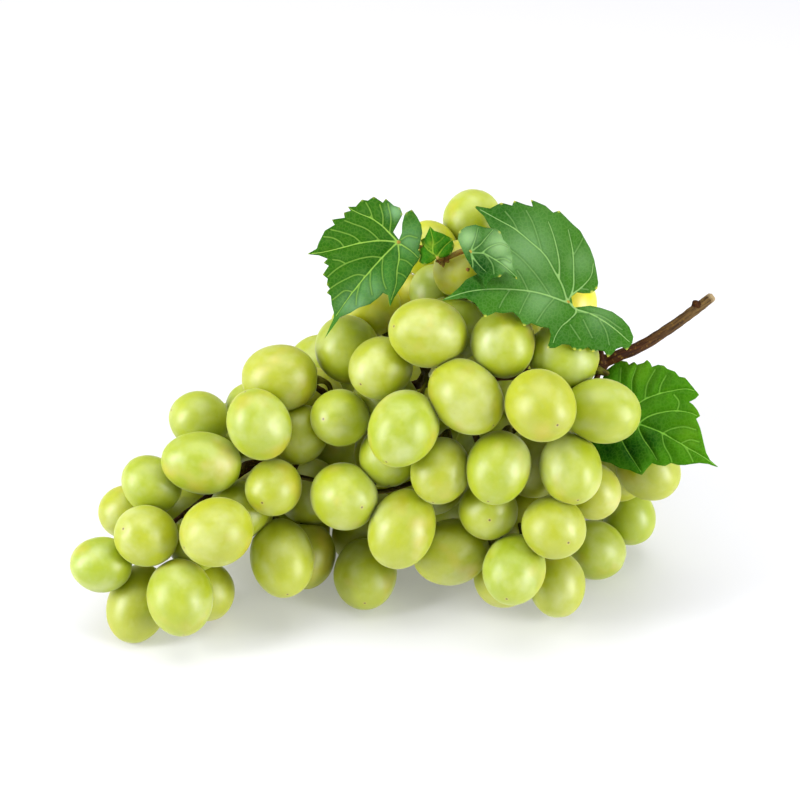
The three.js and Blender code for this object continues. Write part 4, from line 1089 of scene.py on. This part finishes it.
# joint, outline, foldTo and the veins are places on the drawing sheet. out, slope and rise give how
# far out the leaf lies: at the joint, across and up from it, and away from the fold. The pale patches,
# partly waxy bloom and partly painted sheen, and the dark patches of painted shade are each a place,
# radius and strength.
leaves = {
    "leaf_left": {
        "joint": (397, 242), "out": 28, "slope": (0.1, -0.35), "foldTo": (335, 315), "rise": 0.35,
        "outline": [
            (393, 232), (398, 223), (402.5, 214.5), (400, 208), (394, 206), (386, 199), (383, 203),
            (374, 197), (368, 201), (362, 200), (356, 207), (348, 207), (351, 211), (344, 213),
            (345, 218), (332, 220), (335, 225), (325, 231), (322, 237), (319, 243), (317, 249),
            (308, 254), (318, 255), (328, 259), (324, 263), (329, 266), (323, 275), (328, 279),
            (327, 285), (330, 289), (327, 293), (331, 296), (332, 305), (334, 312), (334, 318),
            (325, 338), (340, 317), (350, 313), (358, 308), (370, 304), (378, 298), (383, 293),
            (388, 295), (390, 307), (394, 298), (399, 290), (404, 283), (409, 275), (413, 267),
            (417, 262), (421, 256), (418, 250), (420, 243), (422, 233), (421, 225), (417, 217),
            (412, 210), (406, 213), (404.5, 216), (402.5, 224), (402, 233), (399, 240),
        ],
        "veins": [
            [(397, 243), (383, 257), (366, 276), (350, 296), (336, 316)],
            [(397, 242), (380, 241), (360, 243.5), (342, 248), (325, 252), (312, 254)],
            [(396, 240), (390, 234), (382, 226), (372, 219), (360, 214), (350, 209)],
            [(398, 243), (399, 258), (397, 270), (396, 284), (391, 300)],
            [(398, 243), (405, 247), (412, 252), (418, 258)],
        ],
        "sideVeins": [
            [(383, 227), (383, 216), (380, 205)],
            [(373, 219), (370, 210), (366, 203)],
            [(380, 241), (374, 235), (366, 229), (353, 224), (345, 221)],
            [(361, 243), (354, 237), (340, 232), (331, 230)],
            [(344, 247), (340, 242), (332, 238), (324, 237)],
            [(383, 258), (372, 257), (360, 259), (346, 264), (336, 270), (328, 277)],
            [(346, 264), (340, 261), (333, 260)],
            [(366, 276), (357, 275), (345, 280), (336, 285), (329, 290)],
            [(353, 292), (345, 291), (338, 296), (333, 300)],
            [(383, 258), (382, 268), (383, 280), (386, 289)],
            [(371, 270), (370, 282), (372, 295)],
            [(360, 284), (357, 295), (356, 305)],
            [(399, 259), (406, 261), (412, 266)],
            [(398, 273), (403, 275), (407, 279)],
            [(401, 240), (408, 236), (417, 238)],
            [(390, 232), (391, 218), (388, 204)],
        ],
        "paleBloomAndSheen": [(355, 305, 14, 0.9), (372, 290, 14, 0.5), (395, 212, 8, 1), (410, 240, 14, 0.5)],
        "paintedShade": [(385, 248, 14, 0.8), (370, 262, 12, 0.6), (388, 222, 8, 0.5), (350, 296, 10, 0.4)],
    },
    "leaf_top": {
        "joint": (568, 302), "out": 32, "slope": (-0.45, -0.7), "foldTo": (443, 300), "rise": 0.2,
        "outline": [
            (474, 206), (490, 209), (501, 203), (512, 206), (514, 201), (525, 205), (533, 207),
            (531, 200), (545, 206), (553, 213), (559, 211), (567, 219), (573, 225), (580, 231),
            (585, 240), (590, 249), (594, 260), (596, 270), (598, 283), (597, 289), (592, 293),
            (583, 293), (577, 292), (571, 297), (573, 308), (590, 306), (600, 308), (612, 312),
            (622, 319), (629, 327), (633, 337), (632, 343), (627, 350), (622, 347), (616, 349),
            (612, 354), (608, 357), (604, 351), (598, 350), (593, 352), (588, 347), (580, 351),
            (574, 350), (570, 345), (562, 344), (555, 348), (547, 348), (549, 343), (551, 335),
            (549, 328), (541, 327), (531, 323), (524, 326), (519, 317), (513, 312), (503, 313),
            (496, 312), (485, 317), (475, 303), (466, 298), (455, 299), (443, 300), (452, 294),
            (460, 287), (466, 280), (478, 274), (492, 262), (499, 246), (498, 233), (490, 227),
            (484, 216),
        ],
        "veins": [
            [(567, 303), (551, 297), (535, 292.5), (515, 290), (490, 289.5), (468, 292), (445, 299)],
            [
                (567, 302), (562, 286), (555, 273), (545, 256),
                (530, 242), (514, 229), (498, 220), (480, 210),
            ],
            [(568, 302), (573, 288), (573.5, 272), (573, 256), (571, 243), (568, 230)],
            [(559, 279), (559, 262), (556, 246), (552, 232), (548, 222)],
            [(568, 301), (571, 296), (582, 287), (591, 276), (593, 264)],
            [(569, 303), (574, 307), (576, 312), (568, 321), (562, 326), (556, 335), (553, 343)],
            [(569, 303), (575, 309), (590, 314), (606, 323), (620, 334), (629, 342)],
        ],
        "sideVeins": [
            [(550, 296), (540, 281), (528, 266), (518, 256), (510, 250)],
            [(528, 291), (521, 277), (517, 271)],
            [(553, 300), (546, 308), (541, 315), (536, 323)],
            [(530, 292), (524, 303), (519, 314)],
            [(510, 290), (503, 300), (499, 308)],
            [(541, 250), (537, 236), (532, 222), (526, 211)],
            [(518, 232), (513, 222), (505, 212)],
            [(573, 256), (580, 244), (583, 238)],
            [(580, 289), (588, 290)],
            [(583, 320), (592, 338)],
            [(598, 318), (606, 332), (609, 345)],
            [(570, 325), (580, 340)],
            [(575, 312), (600, 316), (622, 330)],
        ],
        "paleBloomAndSheen": [(525, 250, 28, 0.7), (540, 300, 18, 0.6), (580, 262, 14, 0.4), (600, 320, 14, 0.6)],
        "paintedShade": [(470, 288, 14, 0.9), (500, 212, 25, 0.7), (560, 340, 20, 0.5), (600, 338, 22, 0.4)],
    },
    "leaf_right": {
        "joint": (636, 424), "out": 21, "slope": (0.15, -0.3), "foldTo": (715, 466), "rise": 0.1,
        "outline": [
            (603, 378), (607, 370), (615, 364), (622, 361), (627, 362), (629, 365), (634, 362),
            (637, 365), (644, 363), (647, 360), (650, 363), (652, 367), (658, 365), (664, 366),
            (667, 369), (675, 372), (679, 377), (685, 378), (690, 384), (695, 390), (699, 395),
            (695, 399), (689, 402), (693, 405), (697, 410), (700, 416), (696, 419), (700, 428),
            (702, 436), (704, 445), (706, 453), (710, 460), (718, 467), (708, 464), (700, 463),
            (692, 464), (685, 465), (678, 465), (671, 463), (665, 466), (658, 465), (652, 463),
            (647, 468), (642, 475), (636, 473), (630, 470), (620, 468), (611, 463), (601, 461),
            (592, 456), (590, 444), (597, 428), (606, 412),
        ],
        "veins": [
            [
                (610, 418), (638, 424), (650, 428), (662, 433),
                (676, 441), (688, 448), (700, 455), (715, 465),
            ],
            [(638, 424), (648, 417), (660, 413), (675, 411), (690, 413), (697, 416)],
            [(620, 414), (636, 405), (646, 399), (659, 394), (672, 391), (686, 389), (694, 391)],
            [(622, 412), (631, 395), (632, 380), (636, 368)],
            [(638, 424), (639, 430), (644, 440), (651, 450), (657, 460)],
            [(614, 424), (622, 441), (628, 452), (636, 464), (641, 472)],
        ],
        "sideVeins": [
            [(659, 394), (661, 385), (666, 376)],
            [(645, 399), (647, 385), (655, 370)],
            [(674, 395), (679, 402), (677, 412)],
            [(663, 433), (672, 429), (684, 427), (696, 430)],
            [(682, 443), (690, 440), (699, 442)],
            [(662, 434), (664, 445), (670, 456), (672, 462)],
            [(684, 446), (690, 455), (693, 462)],
            [(620, 383), (621, 368)],
        ],
        "paleBloomAndSheen": [(640, 370, 14, 0.5), (690, 435, 14, 0.5), (700, 410, 8, 0.4)],
        "paintedShade": [(608, 450, 18, 1), (630, 450, 20, 1), (650, 440, 14, 0.9), (655, 428, 14, 0.5)],
    },
    "leaf_small_right": {
        "joint": (470, 252), "out": 38.5, "slope": (-0.1, -0.5), "foldTo": (517, 279), "rise": 0.3,
        "outline": [
            (458, 240), (459, 232), (466, 227), (475, 225), (485, 228), (495, 229), (500, 232),
            (503, 240), (509, 246), (512, 255), (512, 265), (517, 279), (505, 272), (500, 277),
            (492, 278), (487, 283), (486, 290), (482, 280), (478, 275), (472, 268), (466, 258),
        ],
        "veins": [
            [(471, 252), (480, 245), (486, 238), (493, 230)],
            [(471, 253), (484, 254), (495, 260), (505, 267), (517, 278)],
            [(471, 250), (475, 240), (478, 228)],
            [(482, 253), (490, 247), (500, 244), (508, 247)],
            [(471, 254), (478, 264), (486, 272)],
            [(471, 255), (473, 266), (472, 272)],
        ],
        "sideVeins": [
            [(484, 254), (492, 264), (494, 274)],
            [(495, 260), (504, 259), (510, 262)],
        ],
        "paleBloomAndSheen": [(468, 238, 10, 0.9), (500, 245, 14, 0.9), (508, 262, 9, 0.9)],
        "paintedShade": [(480, 267, 14, 1), (478, 247, 6, 0.6)],
    },
    "leaf_small_left": {
        "joint": (437, 258), "out": 29, "slope": (0.1, -0.3), "foldTo": (430, 226), "rise": 0.3,
        "outline": [
            (430, 226), (434, 231), (443, 234), (452, 239), (454, 246), (451, 254), (445, 257),
            (437, 258), (432, 262), (425, 265), (419, 262), (421, 257), (419, 251), (423, 247),
            (421, 240), (425, 238), (428, 232),
        ],
        "veins": [
            [(437, 258), (433, 252), (433, 240), (430, 228)],
            [(437, 257), (444, 247), (452, 240)],
            [(436, 256), (428, 250), (421, 241)],
        ],
        "sideVeins": [
            [(433, 246), (440, 241), (444, 237)],
            [(433, 250), (426, 245), (424, 241)],
        ],
        "paleBloomAndSheen": [(432, 245, 4, 0.9), (437, 258, 5, 0.7)],
        "paintedShade": [(442, 248, 8, 0.6), (424, 258, 8, 0.4)],
    },
}
leafLook = {
    "grain": 1.8,  # steps of the drawing between the points of a leaf
    "rowGap": 0.866,  # share of the grain between two rows of points
    "keepAway": 0.55,  # share of the grain between a point and the rim or a vein
    "toothTurn": 0.55,  # how sharply the outline turns at a tooth
    "foldRound": 3,  # mm, how softly a leaf folds
    "thinning": (1.1, 0.6),  # a main vein's width at its foot, and how much of it is gone at its end
    "mainAsSide": 3,  # a main vein counts as a side vein this many times farther off
    "puff": 0.7,  # mm, how far the skin rises between the veins
    "puffShape": (1.1, 0.75, 4.5),  # weights of the main and side veins, and steps until it is full
    "rimReach": 6,  # steps from the rim until it is full
    "wave": 0.5,  # mm
    "waveScale": 0.11,
    "curl": 0.5,  # mm, how far the rim turns down
    "curlReach": 4,  # steps from the rim
    "groove": (0.1, 1.2),  # mm deep and steps wide, the groove along a main vein
    "thickness": 0.4,  # mm
}


def leafOut(leaf, across, up):
    x, y = fromDrawing(*leaf["joint"])
    tipX, tipY = fromDrawing(*leaf["foldTo"])
    length = math.hypot(tipX - x, tipY - y)
    aside = (across - x) * (tipY - y) / length - (up - y) * (tipX - x) / length
    soft = leafLook["foldRound"]
    fall = leaf["rise"] * (np.sqrt(aside * aside + soft * soft) - soft)
    return leaf["out"] + leaf["slope"][0] * (across - x) + leaf["slope"][1] * (up - y) - fall


# how far points are from a chain of lines, and how far along the chain the nearest place is
def distanceTo(chain, points):
    chain = np.asarray(chain, dtype=float)
    starts, runs = chain[:-1], chain[1:] - chain[:-1]
    lengths = np.maximum(np.hypot(runs[:, 0], runs[:, 1]), tiny)
    offset = points[:, None, :] - starts
    share = np.clip((offset * runs).sum(2) / (lengths * lengths), 0, 1)
    gaps = np.linalg.norm(offset - share[:, :, None] * runs, axis=2)
    best = gaps.argmin(axis=1)
    rows = np.arange(len(points))
    before = np.concatenate([[0], np.cumsum(lengths)[:-1]])
    return gaps[rows, best], (before[best] + share[rows, best] * lengths[best]) / lengths.sum()


def roundedVein(vein):
    spots = [np.array((x, y, 0.0)) for x, y in vein]
    count = max(2, round(sum(math.dist(a, b) for a, b in zip(vein, vein[1:])) / leafLook["grain"]))
    return [tuple(curvePoint(spots, i / count)[:2]) for i in range(count + 1)]


# the points of the outline that are the tips of its teeth
def toothTips(outline):
    points = np.array(outline, dtype=float)
    following = np.roll(points, -1, axis=0)
    before, after = points - np.roll(points, 1, axis=0), following - points
    turn = np.cross(before, after) / (np.hypot(*before.T) * np.hypot(*after.T))
    area = np.cross(points, following).sum()
    return points[turn * np.sign(area) > leafLook["toothTurn"]]


def splitRim(outline, step):
    split = []
    for (x1, y1), (x2, y2) in zip(outline, outline[1:] + outline[:1]):
        count = max(1, round(math.hypot(x2 - x1, y2 - y1) / step))
        split += [(x1 + (x2 - x1) * i / count, y1 + (y2 - y1) * i / count) for i in range(count)]
    return split


# One sheet of small triangles inside the outline, with edges that follow every vein.
def leafSheet(outline, veins):
    grain = leafLook["grain"]
    verts = splitRim(outline, grain)
    rim = list(range(len(verts)))
    edges = list(zip(rim, rim[1:] + rim[:1]))
    for vein in veins:
        within = [place for place in vein if isInside(outline, *place)]
        edges += [(len(verts) + i, len(verts) + i + 1) for i in range(len(within) - 1)]
        verts += within
    fixed = np.array(verts)
    low, high = fixed.min(axis=0), fixed.max(axis=0)
    for row, y in enumerate(np.arange(low[1], high[1], grain * leafLook["rowGap"])):
        for x in np.arange(low[0] + (row % 2) * grain / 2, high[0], grain):
            nearest = np.hypot(*(fixed - (x, y)).T).min()
            if nearest > grain * leafLook["keepAway"] and isInside(outline, x, y):
                verts.append((x, y))
    withinRim, snap = 1, 1e-4
    found = geometry.delaunay_2d_cdt([Vector(vert) for vert in verts], edges, [rim], withinRim, snap)
    return np.array([vert[:] for vert in found[0]]), found[2]


# how strong soft patches are at every point of the sheet
def patches(spots, sheet):
    fades = [force * np.exp(-(((sheet - (x, y)) / size) ** 2).sum(1)) for x, y, size, force in spots]
    return np.max(fades, axis=0)


# how far the skin of a leaf rises above its plain sheet, in mm
def leafRelief(leaf, flat, mainGap, sideGap, rimGap):
    mainShare, sideShare, width = leafLook["puffShape"]
    depth, reach = leafLook["groove"]
    puff = 1 - np.exp(-(np.minimum(mainGap * mainShare, sideGap * sideShare) / width) ** 2)
    lift = leafLook["puff"] * (puff - 0.5) * np.clip(rimGap / leafLook["rimReach"], 0, 1)
    lift += leafLook["wave"] * noiseAt(flat, leafLook["waveScale"], len(leaf["outline"]))
    lift -= leafLook["curl"] * np.exp(-rimGap / leafLook["curlReach"])
    return lift - depth * np.exp(-(mainGap / reach) ** 2)


# the side of the fold that a place is on, as its distance in mm
def sideOfFold(leaf, sheet):
    joint, fold = np.array(leaf["joint"]), np.array(leaf["foldTo"])
    ahead = (fold - joint) / np.hypot(*(fold - joint))
    return ((sheet - joint) @ np.array((ahead[1], -ahead[0]))) * drawingStep


def addLeaf(name, materials, slotName):
    leaf = leaves[name]
    mains, sides = ([roundedVein(vein) for vein in leaf[key]] for key in ("veins", "sideVeins"))
    sheet, faces = leafSheet(leaf["outline"], mains + sides)
    width, thinned = leafLook["thinning"]
    reach = [distanceTo(vein, sheet) for vein in mains]
    mainGap = np.min([gap / (width - thinned * share) for gap, share in reach], axis=0)
    sideGaps = [distanceTo(vein, sheet)[0] for vein in sides]
    sideGap = np.min(sideGaps + [mainGap * leafLook["mainAsSide"]], axis=0)
    rimGap = distanceTo(leaf["outline"] + leaf["outline"][:1], sheet)[0]
    tipGap = np.linalg.norm(sheet[:, None] - toothTips(leaf["outline"]), axis=2).min(axis=1)
    across, up = fromDrawing(sheet[:, 0], sheet[:, 1])
    flat = np.column_stack([across, up, np.zeros(len(across))])
    out = leafOut(leaf, across, up) + leafRelief(leaf, flat, mainGap, sideGap, rimGap)
    bm = bmesh.new()
    corners = [bm.verts.new(toScene(facePoint(*place))) for place in zip(across, up, out)]
    for face in faces:
        bm.faces.new([corners[i] for i in face])
    bmesh.ops.recalc_face_normals(bm, faces=bm.faces)
    if sum((face.normal for face in bm.faces), Vector()).dot(Vector(outward)) < 0:
        bmesh.ops.reverse_faces(bm, faces=bm.faces)
    mesh = meshFrom(bm, name + "_blade")
    setAttributes(mesh, {
        "sheetMm": flat, "mainVein": mainGap, "sideVein": sideGap, "toothTip": tipGap * drawingStep,
        "foldSide": sideOfFold(leaf, sheet), "paleBloomAndSheen": patches(leaf["paleBloomAndSheen"], sheet),
        "paintedShade": patches(leaf["paintedShade"], sheet),
    })
    piece = addPiece(name + "_blade", mesh, slotName, materials, name)
    wall = piece.modifiers.new("thickness", "SOLIDIFY")
    wall.thickness, wall.offset, wall.material_offset = leafLook["thickness"] * mm, 0, 1
    wall.use_rim = True


# Living vine leaf, upper side: thin wax over green flesh gives a soft cool sheen. Pale veins stand
# in a net of finer ones, and each tooth ends in a tiny yellow point. Painted into the colour: a paler half
# beyond the fold and pale patches as sheen (the patches partly waxy bloom), and dark patches and darker
# flesh beside the veins as shade.
def leafSkin(name, look):
    material, tree = newMaterial(name)
    place = addNode(tree, "Attribute", attribute_name="sheetMm").outputs["Vector"]
    mainGap, sideGap, tips, foldSide, paleBloomAndSheen, paintedShade = (
        addNode(tree, "Attribute", attribute_name=key).outputs["Fac"]
        for key in ("mainVein", "sideVein", "toothTip", "foldSide", "paleBloomAndSheen", "paintedShade")
    )
    cloud = addNode(tree, "TexNoise", {"Vector": place, "Scale": 0.16, "Detail": 4.0}).outputs[0]
    # the net of fine veins, with meshes of about 1.2 mm
    edges = addNode(tree, "TexVoronoi", {"Vector": place, "Scale": 0.8}, feature="DISTANCE_TO_EDGE")
    net = edges.outputs[0]
    beside = addNode(tree, "Math", {0: mainGap, 1: sideGap}, operation="MINIMUM").outputs[0]
    flesh = laidOver(tree, look["left"], (
        # the half beyond the fold is painted paler, as sheen
        (foldSide, -1.2, 1.2, 0.0, 1.0, look["right"]),
        # pale patches: partly waxy bloom, partly painted sheen
        (paleBloomAndSheen, 0.0, 1.0, 0.0, 1.0, look["paleBloomAndSheen"]),
        # dark patches: painted shade
        (paintedShade, 0.0, 1.0, 0.0, 1.0, look["paintedShade"]),
        (cloud, 0.42, 0.7, 0.0, 0.04, look["paleBloomAndSheen"]),
        (net, 0.02, 0.16, 0.08, 0.0, look["vein"]),
        (beside, 0.8, 3.2, look["paintedGrooveShade"], 0.0, look["paintedShade"]),  # the flesh is painted darker beside the veins, as shade in the grooves
        (sideGap, 0.3, 1.0, look["side"], 0.0, look["vein"]),
        (mainGap, 0.35, 1.15, look["main"], 0.0, look["vein"]),
        (tips, 0.3, 0.9, look["tip"], 0.0, "#c9c955"),  # the teeth's yellow points
    ))
    height = addNode(tree, "Math", {0: net, 1: 0.35}, operation="MINIMUM").outputs[0]
    bump = addNode(tree, "Bump", {"Height": height, "Strength": 0.3, "Distance": 0.0005}).outputs[0]
    rough = addNode(tree, "MapRange", {0: cloud, 1: 0.3, 2: 0.7, 3: 0.46, 4: 0.56}).outputs[0]
    shader = addNode(tree, "BsdfPrincipled", {
        "Base Color": flesh, "Roughness": rough, "IOR": 1.45, "Normal": bump, "Specular IOR Level": 0.06,
        "Subsurface Weight": 0.25, "Subsurface Radius": (0.5, 1.0, 0.15), "Subsurface Scale": 0.0012,
    })
    addNode(tree, "OutputMaterial", {0: shader.outputs[0]})
    return material


# the colours of each leaf, with its painted sheen and painted shade, and how clearly its main and side
# veins, the painted shade beside them and the tips show
leafTones = {
    "vineLeafBright": {
        "left": "#295b04", "right": "#376e20", "paleBloomAndSheen": "#6f9a6a", "paintedShade": "#184a00",
        "vein": "#90b84c", "main": 0.75, "side": 0.4, "paintedGrooveShade": 0.4, "tip": 0.3,
    },
    "vineLeafDeep": {
        "left": "#366a16", "right": "#366a16", "paleBloomAndSheen": "#729a64", "paintedShade": "#134c04",
        "vein": "#8fb76c", "main": 0.75, "side": 0.3, "paintedGrooveShade": 0.35, "tip": 0.9,
    },
    "vineLeafFresh": {
        "left": "#3b7404", "right": "#3b7404", "paleBloomAndSheen": "#5e9010", "paintedShade": "#053a02",
        "vein": "#84bc44", "main": 0.7, "side": 0.45, "paintedGrooveShade": 0.2, "tip": 0.1,
    },
    "vineLeafYoung": {
        "left": "#285e0e", "right": "#285e0e", "paleBloomAndSheen": "#88ae74", "paintedShade": "#083a06",
        "vein": "#8cb868", "main": 0.5, "side": 0.35, "paintedGrooveShade": 0.4, "tip": 0.6,
    },
    "vineLeafBud": {
        "left": "#307208", "right": "#307208", "paleBloomAndSheen": "#7f9c22", "paintedShade": "#1c5a04",
        "vein": "#8aaa2c", "main": 0.6, "side": 0.3, "paintedGrooveShade": 0.4, "tip": 0.4,
    },
    "vineLeafUnderside": {
        "left": "#7fa45c", "right": "#7fa45c", "paleBloomAndSheen": "#97b577", "paintedShade": "#6c9450",
        "vein": "#c4d39a", "main": 1.0, "side": 0.9, "paintedGrooveShade": 0.1, "tip": 0.3,
    },
}


def addLeaves():
    skins = {name: leafSkin(name, look) for name, look in leafTones.items()}
    under = skins["vineLeafUnderside"]
    for name, skin, slotName in (
        ("leaf_left", "vineLeafBright", "leaf_bright"), ("leaf_top", "vineLeafDeep", "leaf_deep"),
        ("leaf_right", "vineLeafFresh", "leaf_bright"), ("leaf_small_left", "vineLeafBud", "leaf_young"),
        ("leaf_small_right", "vineLeafYoung", "leaf_young"),
    ):
        addLeaf(name, [skins[skin], under], slotName)


# The side shoot in mm: every place is across, up and out.
shoot = {
    "twig": [
        (65.5, 17.5, 20), (64.6, 22, 20), (61.5, 26, 20), (56, 27.6, 20.5), (51.5, 29.6, 21),
        (47.5, 35, 21.5), (42, 40.5, 22), (33, 45, 23), (25, 49, 24.5), (13.5, 45.3, 25),
    ],
    "twigRadius": (1.3, 0.9),
    "twigTone": (0.1, 0.5),
    # for each leaf, the place on the twig and the places on the way to its joint
    "leafStalks": {
        "leaf_top": [(53.5, 28.5, 20.8), (53.4, 29.6, 25)],
        "leaf_small_right": [(25, 49, 24), (24, 48.6, 30)],
        "leaf_small_left": [(14, 45.5, 24.6)],
        "leaf_left": [(17, 46.6, 24.8), (8, 49, 22.5)],
    },
    "leafStalkRadius": (0.8, 0.65),
    "leafStalkTone": (0.5, 0.9),
    "leafStalkStep": 0.8,
    "jointDepth": 0.15,  # a leaf stalk's end is this far behind the leaf
    # small scaly buds at the twig's end: foot, tip and radius of each
    "buds": [
        ((13.4, 45.0, 25.2), (13.2, 43.6, 26.4), 0.95), ((12.6, 45.0, 25.2), (11.4, 44.6, 26.2), 0.65),
        ((14.0, 45.2, 25.2), (13.9, 42.6, 25.8), 0.6), ((14.6, 45.4, 25.2), (15.9, 44.4, 26.0), 0.8),
        ((14.6, 45.6, 25.2), (15.3, 46.4, 26.2), 0.55), ((21.9, 42.4, 25.8), (21.9, 41.4, 26.4), 0.6),
    ],
    "budTone": (0.0, 0.45),
    "budSteps": 8,
    "budBlunt": 1.02,  # 1 makes a bud's tip a point
    "voxel": 0.22,  # the size at which the stalks grow together
    "bark": 0.1,  # height of the bark's ridges
}


def addShoot():
    twig = smoothCurve(shoot["twig"], stem["step"])
    rods = [(twig, np.linspace(*shoot["twigRadius"], len(twig)), shoot["twigTone"])]
    for name, way in shoot["leafStalks"].items():
        leaf = leaves[name]
        across, up = fromDrawing(*leaf["joint"])
        end = (across, up, leafOut(leaf, across, up) - shoot["jointDepth"])
        places = smoothCurve(way + [end], shoot["leafStalkStep"])
        radii = np.linspace(*shoot["leafStalkRadius"], len(places))
        rods.append((places, radii, shoot["leafStalkTone"]))
    shares = np.linspace(0, 1, shoot["budSteps"])
    for foot, tip, radius in shoot["buds"]:
        spots = [[f + (t - f) * share for f, t in zip(foot, tip)] for share in shares]
        places = np.array([facePoint(*spot) for spot in spots])
        rods.append((places, radius * np.sqrt(shoot["budBlunt"] - shares * shares), shoot["budTone"]))
    addBark("shootBark", "shoot_wood", shootSkin(), "shoot", rods, shoot)


# Young vine shoot: smooth skin, green with a reddish-brown sunny side and small dark dots.
def shootSkin():
    material, tree = newMaterial("youngVineShoot")
    place, tone, streaks = barkGrain(tree, (1.2, 1.2, 0.2), 4.0)
    dots = addNode(tree, "TexVoronoi", {"Vector": place, "Scale": 1.1}).outputs["Distance"]
    skin = laidOver(tree, "#6a3a10", (
        (tone, 0.0, 1.0, 0.0, 1.0, "#a9a03c"),
        (streaks, 0.42, 0.65, 0.0, 0.8, "#8a4a17"),
        (dots, 0.12, 0.2, 0.8, 0.0, "#3a1a0c"),
    ))
    bump = addNode(tree, "Bump", {"Height": streaks, "Strength": 0.4, "Distance": 0.0002}).outputs[0]
    shader = addNode(tree, "BsdfPrincipled", {
        "Base Color": skin, "Roughness": 0.55, "IOR": 1.45, "Normal": bump, "Specular IOR Level": 0.3,
    })
    addNode(tree, "OutputMaterial", {0: shader.outputs[0]})
    return material


studio = {
    "viewWidth": 258.06,  # mm across the view at the middle of the bunch
    "sensorWidth": 36,
    "floor": "#d0d0d6",
    "floorGlow": 0.23,
    "floorReach": 3,  # m, from its middle to its sides
    "lamps": {
        # place in m, width and height in m, power in W
        "softboxLeft": ((-0.9, -0.32, 0.45), 0.3, 0.75, 10.5),
        "softboxRight": ((0.9, -0.5, 0.28), 0.3, 0.75, 10.5),
        "softboxTop": ((0.0, 0.1, 1.1), 1.1, 0.9, 9),
    },
    "lampsFace": (0.0, 0.0, 0.05),  # m, the place that all lamps face
    "world": 0.39,
}


def addCamera():
    data = bpy.data.cameras.new("camera")
    camera = newObject("camera", data)
    place = [(faceMiddle[i] + outward[i] * eyeDistance - tablePoint[i]) * mm for i in range(3)]
    turn = Matrix(((1, 0, 0), upward, outward)).transposed().to_4x4()
    camera.matrix_world = Matrix.Translation(place) @ turn
    data.sensor_width = studio["sensorWidth"]
    data.lens = data.sensor_width * eyeDistance / studio["viewWidth"]
    data.clip_start, data.clip_end = 0.01, 20
    bpy.context.scene.camera = camera


def addLamps():
    target = Vector(studio["lampsFace"])
    for name, (place, width, height, power) in studio["lamps"].items():
        data = bpy.data.lights.new(name, "AREA")
        data.shape, data.size, data.size_y, data.energy = "RECTANGLE", width, height, power
        lamp = newObject(name, data)
        lamp.location = place
        lamp.rotation_euler = (target - Vector(place)).to_track_quat("-Z", "Y").to_euler()
    world = bpy.data.worlds.new("studioWhite")
    world.use_nodes = True
    sky = world.node_tree.nodes["Background"]
    sky.inputs["Color"].default_value = (1, 1, 1, 1)
    sky.inputs["Strength"].default_value = studio["world"]
    bpy.context.scene.world = world
    bpy.context.scene.view_settings.view_transform = "Standard"


def addFloor():
    bm = bmesh.new()
    bmesh.ops.create_grid(bm, x_segments=1, y_segments=1, size=studio["floorReach"])
    mesh = meshFrom(bm, "floor")
    floor = newObject("floor", mesh)
    # smooth white table with a faint glow of its own
    material, tree = newMaterial("whiteTable")
    shader = addNode(tree, "BsdfPrincipled", {
        "Base Color": studio["floor"], "Roughness": 0.7,
        "Emission Color": "#ffffff", "Emission Strength": studio["floorGlow"],
    })
    addNode(tree, "OutputMaterial", {0: shader.outputs[0]})
    mesh.materials.append(material)
    floor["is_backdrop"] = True


addCamera()
addLamps()
addFloor()
print("stage: camera, light and floor")
berries, pedicels = placeBerries()
print("stage: places of", len(berries), "berries and", len(pedicels), "short stalks")
addBerries(berries + [roundBerry(*spot) for spot in berryLook["deep"]])
print("stage: berries")
addStem(berries, pedicels)
print("stage: stem")
addLeaves()
print("stage: leaves")
addShoot()
print("stage: side shoot")

boxes = {"cad": cadBox, "visual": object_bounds()}
{key: [list(corner) for corner in box] for key, box in boxes.items()}
